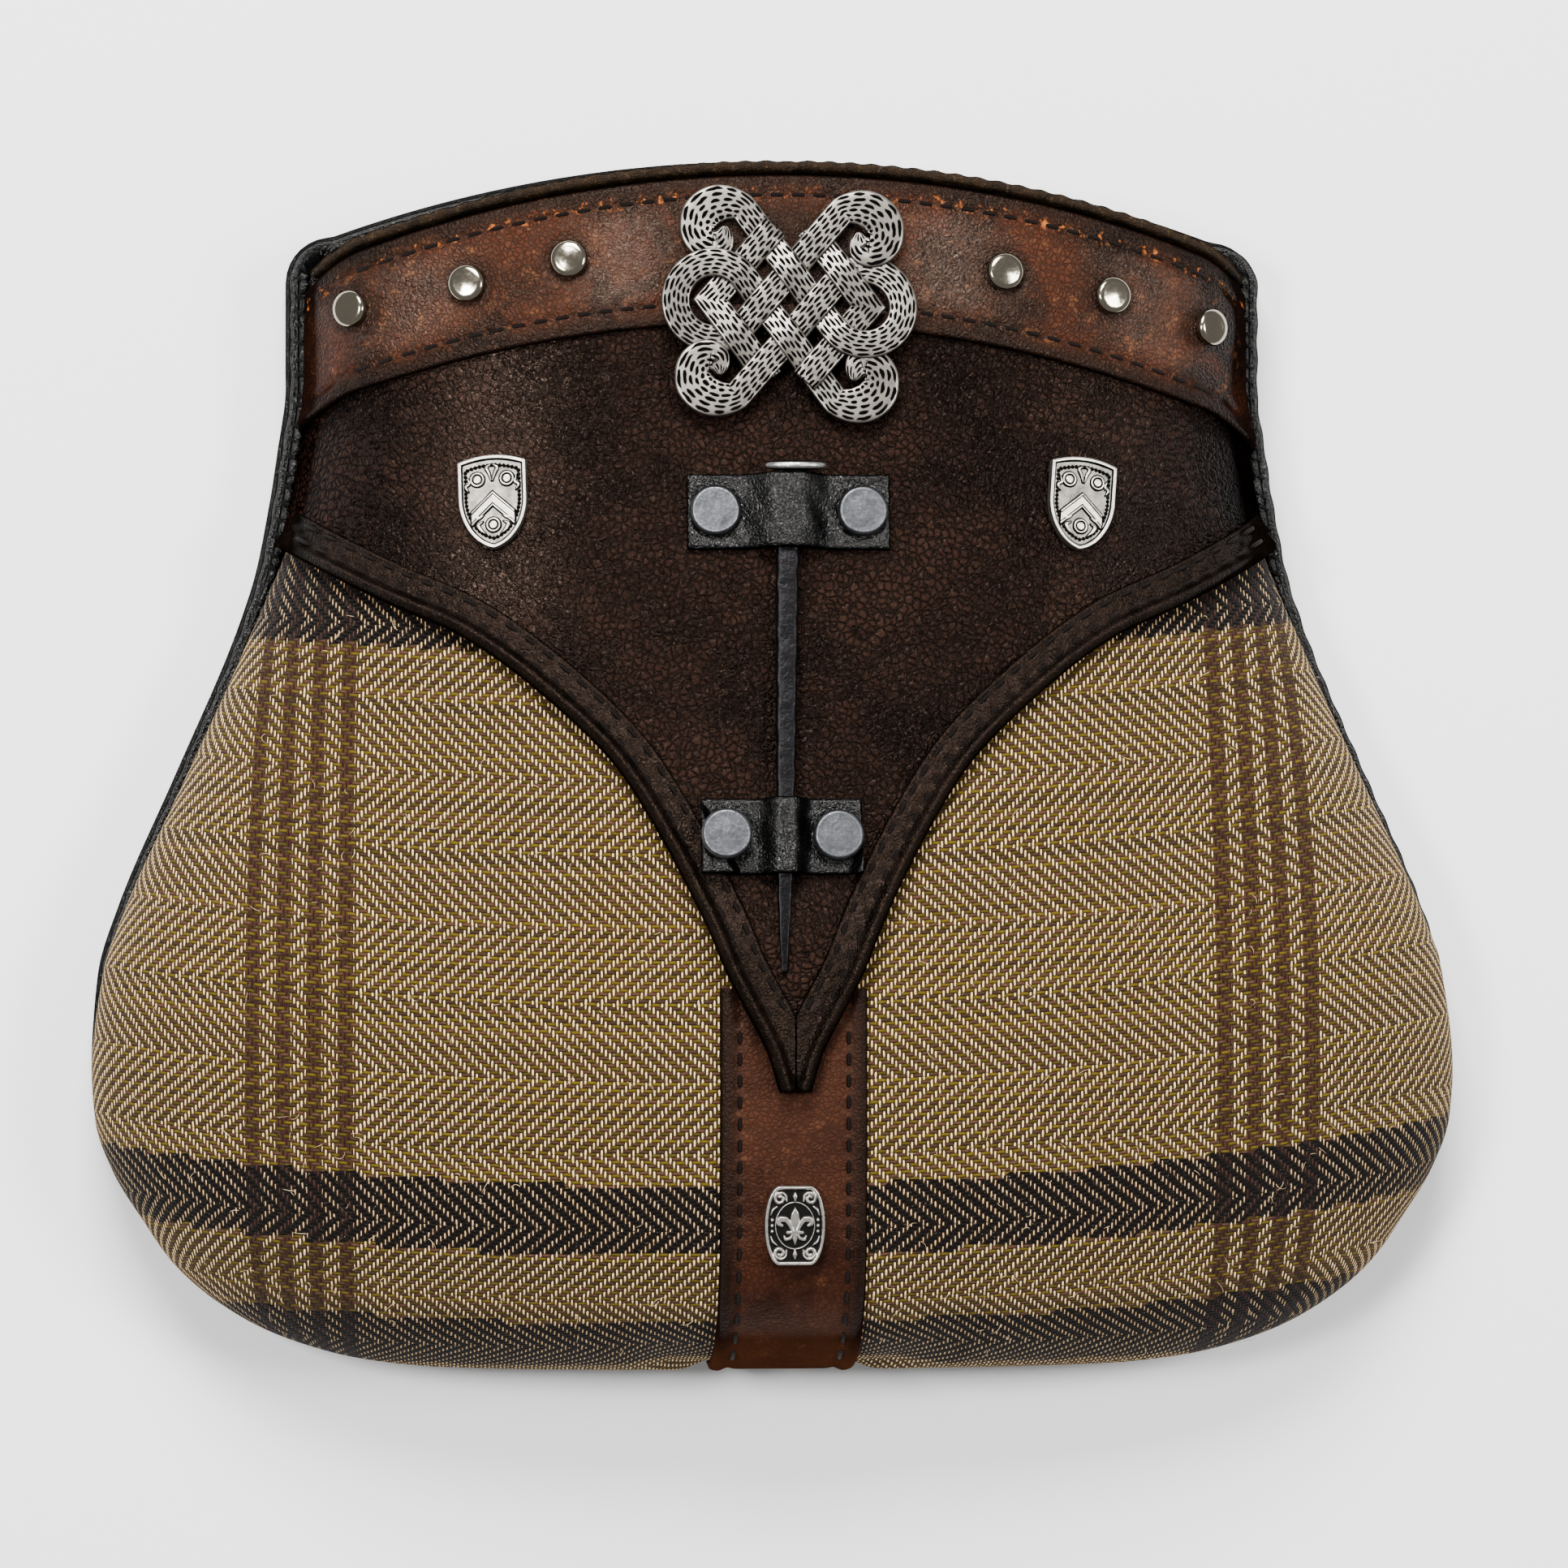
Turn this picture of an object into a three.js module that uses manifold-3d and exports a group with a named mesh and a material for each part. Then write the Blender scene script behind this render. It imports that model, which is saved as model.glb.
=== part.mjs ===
// A sporran pouch: a hollow tweed front on a flat leather back, lying on its back.
// +X is the wearer's left as seen from the front, +Y the mouth, +Z out of the front. Millimetres.
import * as THREE from "three";
import { mergeVertices } from "three/addons/utils/BufferGeometryUtils.js";
import Module from "manifold-3d";

const wasm = await Module();
wasm.setup();

// Pouch body
const POUCH_HEIGHT = 221.3; // bottom edge to the middle of the mouth's lip
const BELLY_HALF_WIDTH = 127.9; // widest half width of the tweed front
const BELLY_RISE = 40; // fullest rise of the front above its rim
const LIP_RADIUS = 228; // the mouth's lip is an arc of this radius in the front view
const LIP_CORNER_DROP = 3.5; // how far the lip turns down at its two ends
const LIP_CORNER_SHARE = 0.1; // share of the half width that this turn takes
const BOTTOM_ROUND = 30; // length over which the front rounds down to its bottom rim
const BOTTOM_POWER = 2.3; // how square that rounding is
const STRAP_PULL = 2; // how far the strap pulls the bottom edge in
const STRAP_PULL_LENGTH = 18; // above the bottom edge, where that pull has faded
const STRAP_PULL_SHARES = [0.38, 0.59]; // it eases off between these shares of the half width
const SIDE_POWER = 2.15; // how square the front's cross-section is
const TWEED_WALL = 1.6;

// Leather thicknesses and the clearance between sewn or riveted layers
const GAP = 0.3;
const DRAPE_GAP = 0.4; // under a layer that is draped over a curved one
const YOKE_LEATHER = 1.4;
const BAND_LEATHER = 1.4;
const STRAP_LEATHER = 1.8;
const TRIM_LEATHER = 1.3;
const KEEPER_LEATHER = 1.5;

// Back panel, its binding and the belt loop behind it
const LOOP_LEATHER = 2;
const LOOP_SLACK = 1.5; // room for the belt while the loop lies flat
const LOOP_WIDTH = 60;
const LOOP_LENGTH = 92;
const LOOP_SEWN_END = 11;
const LOOP_RAMP = 5;
const LOOP_CENTRE = 120.3; // above the bottom edge
const BACK_LEATHER = 2;
const BACK_TOP_OVERHANG = 5.1; // how far the back stands above the front's lip
const BACK_TOP_RADIUS = 240;
const BACK_CORNER_RADIUS = 8;
const BACK_MARGIN = 0.7; // how far the back reaches past its binding
const BINDING_HEIGHT = 8.4; // at the sides and bottom, where it closes the seam
const BINDING_TOP_HEIGHT = 2.6; // along the mouth, where it only edges the back
const BINDING_WIDTH = 3.2;
const BINDING_ROUND = 1.1;

// Yoke, band, trim and strap on the front
const YOKE_SIDE_BELOW_LIP = 68.4; // down to where the yoke's lower edge meets the side
const YOKE_LENGTH = 167.8; // from the middle of the lip down to the yoke's point
const YOKE_POINT_UP = POUCH_HEIGHT - YOKE_LENGTH; // above the bottom edge
const YOKE_POINT_HALF_WIDTH = 2.9;
const TRIM_WIDTH = 7.5;
const TRIM_ROLL = 1.3; // extra height of the trim's rolled outer edge
const TRIM_SEAM = 0.3; // between the two trims at the yoke's point
const BAND_WIDTH = 27.5; // in the middle
const BAND_WIDENING = 0.02; // for each millimetre to the right
const LAYER_SETBACK = 1.2; // the leather layers stop this far above the rim
const STRAP_WIDTH = 26.8;
const STRAP_OVERLAP = 18.8; // how far it reaches up under the yoke's point
const STRAP_LIFT_START = 6; // above the strap's end
const STRAP_LIFT_LENGTH = 15; // length over which the yoke climbs onto the strap
const LIP_BINDING_HEIGHT = 2.3;
const LIP_BINDING_BEHIND = 2.2; // how far the lip's binding reaches inside the tweed
const LIP_BINDING_PROUD = 0.5; // and past the band outside it
const LIP_BINDING_REACH = 0.985; // share of the lip that it covers

// Studs along the band
const STUD_DIAMETER = 7;
const STUD_HEIGHT = 1.9;
const STUD_RIM = 0.5;
const STUD_SHANK = 2.4;
const STUD_PITCH = 19.1;
const STUDS_PER_SIDE = 3;
const FIRST_STUD = 39.7; // from the middle of the pouch
const STUD_BELOW_LIP = 13;
const STUD_DRIFT = [
  // how far each hand-set stud is from its place, across and up, in stud radii; left to right
  { across: 0, up: 0.75 },
  { across: 0.25, up: 0.1 },
  { across: 0, up: 0.2 },
  { across: 0, up: -0.35 },
  { across: 0.25, up: -0.2 },
  { across: 0, up: 0 },
];

// Nail and its two riveted keepers
const NAIL_LENGTH = 92.3;
const NAIL_WIDTH = 4.1;
const NAIL_THICKNESS = 2.9;
const NAIL_ABOVE_POINT = 21.4; // its point above the yoke's point
const NAIL_TILT = 1; // degrees, the point towards -X
const NAIL_POINT_ACROSS = -2.1;
const NAIL_HEAD_ACROSS = 1.3; // how far the head is off the bar's middle
const NAIL_HEAD_WIDTH = 11.4;
const NAIL_HEAD_HEIGHT = 5.6;
const NAIL_HEAD_THICKNESS = 1.5;
const KEEPER_HEIGHT = 13.8;
const KEEPER_ARCH_FLAT = 0.36; // share of each keeper's arch that is level on top
const RIVET_DIAMETER = 9.3;
const RIVET_HEIGHT = 1.5;
const RIVET_EDGE = 0.5;
const RIVET_SHANK = 3;
const KEEPER_ARCH_CLEARANCE = 0.35; // between the arch's foot and the rivets' caps
const UPPER_KEEPER_DOWN = 8.3; // its middle below the nail's top
const UPPER_KEEPER_WIDTH = 37;
const UPPER_RIVET_PITCH = 26.7;
const UPPER_KEEPER_ACROSS = -0.3;
const LOWER_KEEPER_DOWN = 67.6;
const LOWER_KEEPER_WIDTH = 29.3;
const LOWER_RIVET_PITCH = 20.3;
const LOWER_KEEPER_ACROSS = -2.2;

// Shield badges
const SHIELD_WIDTH = 12.6;
const SHIELD_HEIGHT = 17.3;
const SHIELD_THICKNESS = 1.3;
const SHIELD_RIM = 0.8;
const SHIELD_RELIEF = 0.45;
const SHIELD_ACROSS = 53.5;
const SHIELD_BELOW_LIP = 60.6; // down to its middle
const SHIELDS = [
  { name: "shield_left", side: -1, lean: 1.5 },
  { name: "shield_right", side: 1, lean: -5 },
];

// Lily badge on the strap
const LILY_WIDTH = 10.9;
const LILY_HEIGHT = 14.3;
const LILY_THICKNESS = 1.4;
const LILY_RIM = 0.65;
const LILY_RELIEF = 0.5;
const LILY_BELOW_POINT = 23.9; // its middle below the yoke's point

// Knot brooch
const KNOT_BELOW_LIP = 24.3; // down to its middle
const KNOT_LEAN = -2.3; // degrees
const STRAND_WIDTH = 4.4;
const STRAND_THICKNESS = 1.5;
const STRAND_WEAVE = 0.55; // rise and fall of a strand at each crossing
const STRAND_ANGLE = 51.5; // degrees from level
const INNER_LINE = 3.85; // distance of the inner strands from the middle
const OUTER_LINE = 11.3; // distance of the outer strands from the middle
const LOOP_EYE = 13.9; // distance of each side loop's centre from the middle
const CURL_ACROSS = 14.1;
const CURL_UP = 13.7;

// The front's outline: up is a share of POUCH_HEIGHT, half a share of BELLY_HALF_WIDTH.
const OUTLINE = [
  { up: 0, half: 0.34 },
  { up: 0.0045, half: 0.53 },
  { up: 0.0163, half: 0.654 },
  { up: 0.0434, half: 0.775 },
  { up: 0.0872, half: 0.875 },
  { up: 0.1283, half: 0.9265 },
  { up: 0.169, half: 0.9695 },
  { up: 0.21, half: 0.9945 },
  { up: 0.251, half: 1 },
  { up: 0.3335, half: 0.9844 },
  { up: 0.3886, half: 0.9523 },
  { up: 0.498, half: 0.8655 },
  { up: 0.608, half: 0.7787 },
  { up: 0.7185, half: 0.7029 },
  { up: 0.773, half: 0.684 },
  { up: 0.835, half: 0.666 },
  { up: 1, half: 0.665 },
];

// How full the front is along its middle: rise is a share of BELLY_RISE.
const FULLNESS = [
  { up: 0, rise: 0.93 },
  { up: 0.1, rise: 0.97 },
  { up: 0.22, rise: 1 },
  { up: 0.35, rise: 0.985 },
  { up: 0.5, rise: 0.9 },
  { up: 0.65, rise: 0.79 },
  { up: 0.8, rise: 0.68 },
  { up: 1, rise: 0.56 },
];

// The yoke's lower edge: down is a share of its drop from the side to the point,
// half a share of the front's half width where that edge meets the side.
const YOKE_EDGE = [
  { down: 0, half: 1 },
  { down: 0.04, half: 0.931 },
  { down: 0.103, half: 0.804 },
  { down: 0.168, half: 0.65 },
  { down: 0.276, half: 0.492 },
  { down: 0.404, half: 0.352 },
  { down: 0.494, half: 0.288 },
  { down: 0.604, half: 0.223 },
  { down: 0.707, half: 0.169 },
  { down: 0.785, half: 0.134 },
  { down: 0.843, half: 0.102 },
  { down: 0.933, half: 0.053 },
  { down: 1, half: 0.031 },
];

// How far the binding stands outside the front's rim, in shares of BINDING_FLARE.
const BINDING_FLARE = 6;
const FLARE = [
  { up: 0, out: -0.1 },
  { up: 0.25, out: -0.08 },
  { up: 0.34, out: 0.07 },
  { up: 0.39, out: 0.13 },
  { up: 0.5, out: 0.23 },
  { up: 0.61, out: 0.32 },
  { up: 0.65, out: 0.44 },
  { up: 0.72, out: 0.8 },
  { up: 0.775, out: 0.88 },
  { up: 0.85, out: 1 },
  { up: 1, out: 1 },
];

// The curl at a strand's end: turn in degrees round its eye, out a share of its first radius.
const CURL = [
  { turn: 0, out: 1 },
  { turn: 25, out: 1 },
  { turn: 50, out: 0.97 },
  { turn: 75, out: 0.87 },
  { turn: 100, out: 0.72 },
  { turn: 130, out: 0.56 },
  { turn: 165, out: 0.45 },
  { turn: 205, out: 0.39 },
  { turn: 245, out: 0.35 },
  { turn: 285, out: 0.28 },
];

// Heights that follow from the layers
const BACK_OUTER_Z = LOOP_LEATHER + LOOP_SLACK;
const BINDING_Z = BACK_OUTER_Z + BACK_LEATHER + GAP;
const RIM_Z = BINDING_Z + BINDING_HEIGHT + GAP;
const YOKE_TOP = DRAPE_GAP + YOKE_LEATHER;
const BAND_TOP = YOKE_TOP + GAP + BAND_LEATHER;
const STRAP_STACK = GAP + STRAP_LEATHER;
const YOKE_SIDE_UP = POUCH_HEIGHT - YOKE_SIDE_BELOW_LIP;
const STRAP_TOP = YOKE_POINT_UP + STRAP_OVERLAP;
const NAIL_TOP = YOKE_POINT_UP + NAIL_ABOVE_POINT + NAIL_LENGTH;
const SLOPE_STEP = 0.04; // step of the numerical slopes
const EDGE_SHARE = 0.9999; // a slope is never taken nearer the rim than this

const radians = THREE.MathUtils.degToRad;
const clamp = THREE.MathUtils.clamp;
const ease = (t) => THREE.MathUtils.smoothstep(t, 0, 1);

// Smooth value of a table's column at a key, by cubic pieces with level-safe slopes.
function column(table, key, value, at) {
  const last = table.length - 1;
  let i = 0;
  while (i < last - 1 && at > table[i + 1][key]) i++;
  const chord = (k) => {
    const run = table[k + 1][key] - table[k][key];
    return (table[k + 1][value] - table[k][value]) / run;
  };
  const slope = (k) => {
    if (k === 0) return chord(0);
    if (k === last) return chord(last - 1);
    const [before, after] = [chord(k - 1), chord(k)];
    return before * after <= 0 ? 0 : (2 * before * after) / (before + after);
  };
  const run = table[i + 1][key] - table[i][key];
  const t = clamp((at - table[i][key]) / run, 0, 1);
  const [p, q] = [table[i][value], table[i + 1][value]];
  const a = slope(i) * run;
  const b = slope(i + 1) * run;
  return p + t * (a + t * (3 * (q - p) - 2 * a - b + t * (2 * (p - q) + a + b)));
}

// Front surface: x across, up above the bottom edge
const halfWidth = (up) => BELLY_HALF_WIDTH * column(OUTLINE, "up", "half", up / POUCH_HEIGHT);

function riseAt(up) {
  const left = clamp(1 - up / BOTTOM_ROUND, 0, 1);
  const rounding = (1 - left ** BOTTOM_POWER) ** (1 / BOTTOM_POWER);
  return BELLY_RISE * column(FULLNESS, "up", "rise", up / POUCH_HEIGHT) * rounding;
}

// How far the strap pulls the front up at a share of the half width
function strapPull(share, up) {
  const [near, far] = STRAP_PULL_SHARES;
  const left = clamp(1 - up / STRAP_PULL_LENGTH, 0, 1);
  return STRAP_PULL * left * left * (1 - ease((share - near) / (far - near)));
}

function frontPoint(x, up) {
  const share = Math.min(Math.abs(x) / halfWidth(up), 1);
  const z = RIM_Z + riseAt(up) * (1 - share ** SIDE_POWER) ** (1 / SIDE_POWER);
  return new THREE.Vector3(x, up + strapPull(share, up), z);
}

// The point and outward normal at a share of the half width, steady right up to the rim
function frontFrame(share, up) {
  const s = clamp(share, -EDGE_SHARE, EDGE_SHARE);
  const at = (a, b) => frontPoint(a * halfWidth(b), b);
  const v = clamp(up, SLOPE_STEP / 4, POUCH_HEIGHT);
  const du = SLOPE_STEP / BELLY_HALF_WIDTH;
  const across = at(Math.min(s + du, 1), v).sub(at(Math.max(s - du, -1), v));
  const along = at(s, v + SLOPE_STEP / 4).sub(at(s, v - SLOPE_STEP / 4));
  return { point: frontPoint(share * halfWidth(up), up), normal: across.cross(along).normalize() };
}

// A point standing off the front along its normal
function onFront(x, up, offset) {
  const frame = frontFrame(x / halfWidth(up), up);
  return frame.point.addScaledVector(frame.normal, offset);
}

// The mouth's lip
function lipUp(share) {
  const x = share * halfWidth(POUCH_HEIGHT);
  const arc = LIP_RADIUS - Math.sqrt(LIP_RADIUS ** 2 - x * x);
  const turn = clamp((Math.abs(share) - 1 + LIP_CORNER_SHARE) / LIP_CORNER_SHARE, 0, 1);
  return POUCH_HEIGHT - arc - LIP_CORNER_DROP * turn * turn;
}

// The yoke's lower edge as points from the side to the point, for x above 0
const YOKE_DROP = YOKE_SIDE_UP - YOKE_POINT_UP;
const YOKE_SIDE = halfWidth(YOKE_SIDE_UP);
function yokeEdge(t) {
  const half = Math.max(YOKE_SIDE * column(YOKE_EDGE, "down", "half", t), YOKE_POINT_HALF_WIDTH);
  return new THREE.Vector2(half, YOKE_SIDE_UP - YOKE_DROP * t);
}
const EDGE_SAMPLES = 60;
const edgeLine = Array.from({ length: EDGE_SAMPLES + 1 }, (_, i) => yokeEdge(i / EDGE_SAMPLES));

// Distance in the front view from a point to the yoke's lower edge
function edgeDistance(x, up) {
  return Math.min(...edgeLine.map((p) => Math.hypot(Math.abs(x) - p.x, up - p.y)));
}

// How far the yoke is lifted where it climbs onto the strap
function yokeLift(up) {
  const start = STRAP_TOP + STRAP_LIFT_START + STRAP_LIFT_LENGTH;
  return STRAP_STACK * ease((start - up) / STRAP_LIFT_LENGTH);
}

const bandWidth = (x) => BAND_WIDTH + BAND_WIDENING * x;

// Offset of the topmost flat leather at a place on the front
function leatherTop(x, up) {
  const share = x / halfWidth(up);
  if (up > lipUp(share) - bandWidth(x)) return BAND_TOP;
  const edge = YOKE_SIDE_UP - up;
  const insideYoke = edge < 0 || Math.abs(x) < yokeEdge(clamp(edge / YOKE_DROP, 0, 1)).x;
  if (insideYoke && up > YOKE_POINT_UP) return YOKE_TOP + yokeLift(up);
  return Math.abs(x) < STRAP_WIDTH / 2 && up < STRAP_TOP ? STRAP_STACK : 0;
}

// Offset of the draped leather that a keeper lies on, with the trim under its corners
function keeperBed(x, up) {
  const overTrim = ease((TRIM_WIDTH + 2.5 - edgeDistance(x, up)) / 2);
  return YOKE_TOP + yokeLift(up) + overTrim * (DRAPE_GAP + TRIM_LEATHER + TRIM_ROLL);
}

// Solids
function faces(points, triangles) {
  const geometry = new THREE.BufferGeometry().setFromPoints(points);
  geometry.setIndex(triangles.flat());
  return outward(geometry);
}

// Turns a closed mesh's faces outwards
function outward(geometry) {
  const index = geometry.index.array;
  const corner = (i) => new THREE.Vector3().fromBufferAttribute(geometry.attributes.position, index[i]);
  let volume = 0;
  for (let i = 0; i < index.length; i += 3) {
    volume += corner(i).dot(corner(i + 1).cross(corner(i + 2)));
  }
  if (volume < 0) {
    for (let i = 0; i < index.length; i += 3) {
      [index[i + 1], index[i + 2]] = [index[i + 2], index[i + 1]];
    }
  }
  return geometry;
}

// A wall between two grids of points: at(i, j) gives [outer, inner]
function slab(columns, rows, at) {
  const points = [];
  const id = (i, j, k) => (j * (columns + 1) + i) * 2 + k;
  for (let j = 0; j <= rows; j++) {
    for (let i = 0; i <= columns; i++) points.push(...at(i, j));
  }
  const triangles = [];
  const quad = (a, b, c, d) => triangles.push([a, b, c], [a, c, d]);
  for (let j = 0; j < rows; j++) {
    for (let i = 0; i < columns; i++) {
      quad(id(i, j, 0), id(i + 1, j, 0), id(i + 1, j + 1, 0), id(i, j + 1, 0));
      quad(id(i, j, 1), id(i, j + 1, 1), id(i + 1, j + 1, 1), id(i + 1, j, 1));
    }
  }
  for (let i = 0; i < columns; i++) {
    quad(id(i, 0, 0), id(i, 0, 1), id(i + 1, 0, 1), id(i + 1, 0, 0));
    quad(id(i, rows, 0), id(i + 1, rows, 0), id(i + 1, rows, 1), id(i, rows, 1));
  }
  for (let j = 0; j < rows; j++) {
    quad(id(0, j, 0), id(0, j + 1, 0), id(0, j + 1, 1), id(0, j, 1));
    quad(id(columns, j, 0), id(columns, j, 1), id(columns, j + 1, 1), id(columns, j + 1, 0));
  }
  return faces(points, triangles);
}

// A skin through rings of points, closed on itself or capped at both ends
function loft(rings, closed) {
  const n = rings[0].length;
  const triangles = [];
  const spans = closed ? rings.length : rings.length - 1;
  for (let j = 0; j < spans; j++) {
    const [a, b] = [j * n, ((j + 1) % rings.length) * n];
    for (let i = 0; i < n; i++) {
      const k = (i + 1) % n;
      triangles.push([a + i, a + k, b + k], [a + i, b + k, b + i]);
    }
  }
  if (!closed) {
    const end = (rings.length - 1) * n;
    for (let i = 1; i < n - 1; i++) triangles.push([0, i + 1, i], [end, end + i, end + i + 1]);
  }
  return faces(rings.flat(), triangles);
}

// Booleans
function toSolid(geometry) {
  const bare = geometry.clone();
  bare.deleteAttribute("normal");
  bare.deleteAttribute("uv");
  const merged = mergeVertices(bare, 1e-4);
  const mesh = new wasm.Mesh({
    numProp: 3,
    vertProperties: new Float32Array(merged.attributes.position.array),
    triVerts: new Uint32Array(merged.index.array),
  });
  return new wasm.Manifold(mesh);
}

function fromSolid(solid) {
  const { vertProperties, triVerts } = solid.getMesh();
  return new THREE.BufferGeometry()
    .setAttribute("position", new THREE.BufferAttribute(vertProperties, 3))
    .setIndex(new THREE.BufferAttribute(triVerts, 1));
}

const fuse = (geometries) => fromSolid(geometries.map(toSolid).reduce((a, b) => a.add(b)));
const cut = (geometry, tools) => {
  return fromSolid(tools.map(toSolid).reduce((rest, tool) => rest.subtract(tool), toSolid(geometry)));
};

// Seats
// A plane over a patch of the front: its middle, clear of everything under it by GAP, and its axes
function seat(x, up, halfX, halfY, topAt) {
  const { normal } = frontFrame(x / halfWidth(up), up);
  const middle = onFront(x, up, topAt(x, up));
  const steps = [-1, -0.75, -0.5, -0.25, 0, 0.25, 0.5, 0.75, 1];
  let raise = 0;
  for (const a of steps) {
    for (const b of steps) {
      const [px, pu] = [x + a * halfX, up + b * halfY];
      const over = onFront(px, pu, topAt(px, pu)).sub(middle).dot(normal);
      raise = Math.max(raise, over);
    }
  }
  middle.addScaledVector(normal, raise + GAP);
  const right = new THREE.Vector3(1, 0, 0).addScaledVector(normal, -normal.x).normalize();
  return { middle, basis: new THREE.Matrix4().makeBasis(right, normal.clone().cross(right), normal) };
}

function place(mesh, where, lean = 0) {
  mesh.position.copy(where.middle);
  mesh.quaternion.setFromRotationMatrix(where.basis);
  mesh.rotateZ(radians(lean));
  return mesh;
}

// Materials
const finish = (colour, roughness, metalness = 0) => {
  return new THREE.MeshStandardMaterial({ color: colour, roughness, metalness });
};
const TWEED = finish(0x8f7748, 0.95);
const DARK_LEATHER = finish(0x2e1a14, 0.5);
const TRIM_BROWN = finish(0x2a1d16, 0.45);
const BAND_BROWN = finish(0x6b3820, 0.5);
const STRAP_BROWN = finish(0x5a2f1c, 0.55);
const LIP_OLIVE = finish(0x33291a, 0.6);
const BLACK_LEATHER = finish(0x141414, 0.35);
const ANTIQUE_SILVER = finish(0xc9c6be, 0.4, 1);
const POLISHED = finish(0xe2e0d6, 0.12, 1);
const GUNMETAL = finish(0x5b5d60, 0.45, 1);
const FORGED_STEEL = finish(0x3c3d3f, 0.5, 1);

const pouch = new THREE.Group();
function add(name, geometry, material) {
  const mesh = new THREE.Mesh(geometry, material);
  mesh.name = name;
  pouch.add(mesh);
  return mesh;
}

// Columns at steady turns round the cross-section; every draped layer keeps them and may add more
const FRONT_COLUMNS = 26;
const frontShares = Array.from({ length: FRONT_COLUMNS + 1 }, (_, i) => {
  const turn = Math.sin((i / FRONT_COLUMNS - 0.5) * Math.PI);
  return Math.sign(turn) * Math.abs(turn) ** (2 / SIDE_POWER);
});

// Tweed front: a hollow half shell, open at the mouth and at the back
const FRONT_ROWS = [0, 0.0015, 0.006, 0.014, 0.03, 0.055, 0.09, 0.135, 0.2, 0.27, 0.34, 0.42, 0.5];
FRONT_ROWS.push(0.57, 0.63, 0.68, 0.73, 0.78, 0.83, 0.875, 0.92, 1);

function tweedFront() {
  const at = (i, j) => {
    const share = frontShares[i];
    const up = lipUp(share) * FRONT_ROWS[j];
    const { point, normal } = frontFrame(share, up);
    return [point, point.clone().addScaledVector(normal, -TWEED_WALL)];
  };
  const geometry = slab(FRONT_COLUMNS, FRONT_ROWS.length - 1, at);
  // the inner skin's rim would dip below the outer one: both end on one level seat
  const position = geometry.attributes.position;
  for (let i = 0; i < position.count; i++) position.setZ(i, Math.max(position.getZ(i), RIM_Z));
  return geometry;
}
add("tweed_front", tweedFront(), TWEED);

// Leather layers over the tweed stop a little above the rim
function layerShare(share, up, offset) {
  const rise = riseAt(up);
  const low = clamp(LAYER_SETBACK / rise, 0, 1);
  const most = (1 - low ** SIDE_POWER) ** (1 / SIDE_POWER);
  return onFront(share * most * halfWidth(up), up, offset);
}

const YOKE_MIDDLE_SHARES = [0.023, 0.04, 0.06, 0.085, 0.11, 0.2];
const YOKE_ROWS = [0, 0.05, 0.1, 0.15, 0.2, 0.26, 0.4, 0.56, 0.7, 0.85, 1];
const yokeShares = [...frontShares, ...YOKE_MIDDLE_SHARES, ...YOKE_MIDDLE_SHARES.map((s) => -s)];
yokeShares.sort((a, b) => a - b);

// Where along the yoke's lower edge a share of the half width lies
const yokeEdgeShare = (t) => {
  const p = yokeEdge(t);
  return p.x / halfWidth(p.y);
};
function yokeEdgeAt(share) {
  let [low, high] = [0, 1];
  for (let k = 0; k < 40; k++) {
    const t = (low + high) / 2;
    if (yokeEdgeShare(t) > Math.abs(share)) low = t;
    else high = t;
  }
  return high;
}
function yoke() {
  const at = (i, j) => {
    const share = yokeShares[i];
    const edge = yokeEdge(yokeEdgeAt(share));
    const up = THREE.MathUtils.lerp(edge.y, lipUp(share), YOKE_ROWS[j]);
    const lift = yokeLift(up);
    return [layerShare(share, up, YOKE_TOP + lift), layerShare(share, up, DRAPE_GAP + lift)];
  };
  return slab(yokeShares.length - 1, YOKE_ROWS.length - 1, at);
}
add("yoke", yoke(), DARK_LEATHER);

const BAND_ROWS = 3;
function topBand() {
  const at = (i, j) => {
    const share = frontShares[i];
    const width = bandWidth(share * halfWidth(POUCH_HEIGHT));
    const up = lipUp(share) - width * (1 - j / BAND_ROWS);
    return [layerShare(share, up, BAND_TOP), layerShare(share, up, YOKE_TOP + GAP)];
  };
  return slab(FRONT_COLUMNS, BAND_ROWS, at);
}
const studs = STUD_DRIFT.map((drift, i) => {
  const side = i < STUDS_PER_SIDE ? -1 : 1;
  const fromMiddle = side < 0 ? STUDS_PER_SIDE - 1 - i : i - STUDS_PER_SIDE;
  const x = side * (FIRST_STUD + fromMiddle * STUD_PITCH) + (drift.across * STUD_DIAMETER) / 2;
  const up = lipUp(x / halfWidth(POUCH_HEIGHT)) - STUD_BELOW_LIP + (drift.up * STUD_DIAMETER) / 2;
  return { x, up };
});

// A rivet in its own frame: its cap's underside is at z = 0 and its shank hangs below
const SHANK_SIDES = 6;
const shankHole = (radius, depth) => {
  return new THREE.CylinderGeometry(radius + GAP, radius + GAP, depth * 2, SHANK_SIDES).rotateX(Math.PI / 2);
};
function rivet(profile, shankRadius, shankLength, sides) {
  const points = [[0, -shankLength], [shankRadius, -shankLength], [shankRadius, 0], ...profile];
  const outline = points.map(([r, z]) => new THREE.Vector2(r, z));
  const turned = mergeVertices(bareLathe(outline, sides).rotateX(Math.PI / 2), 1e-4);
  return outward(turned);
}
function bareLathe(outline, sides) {
  const lathe = new THREE.LatheGeometry(outline, sides);
  lathe.deleteAttribute("normal");
  lathe.deleteAttribute("uv");
  return lathe;
}

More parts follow.
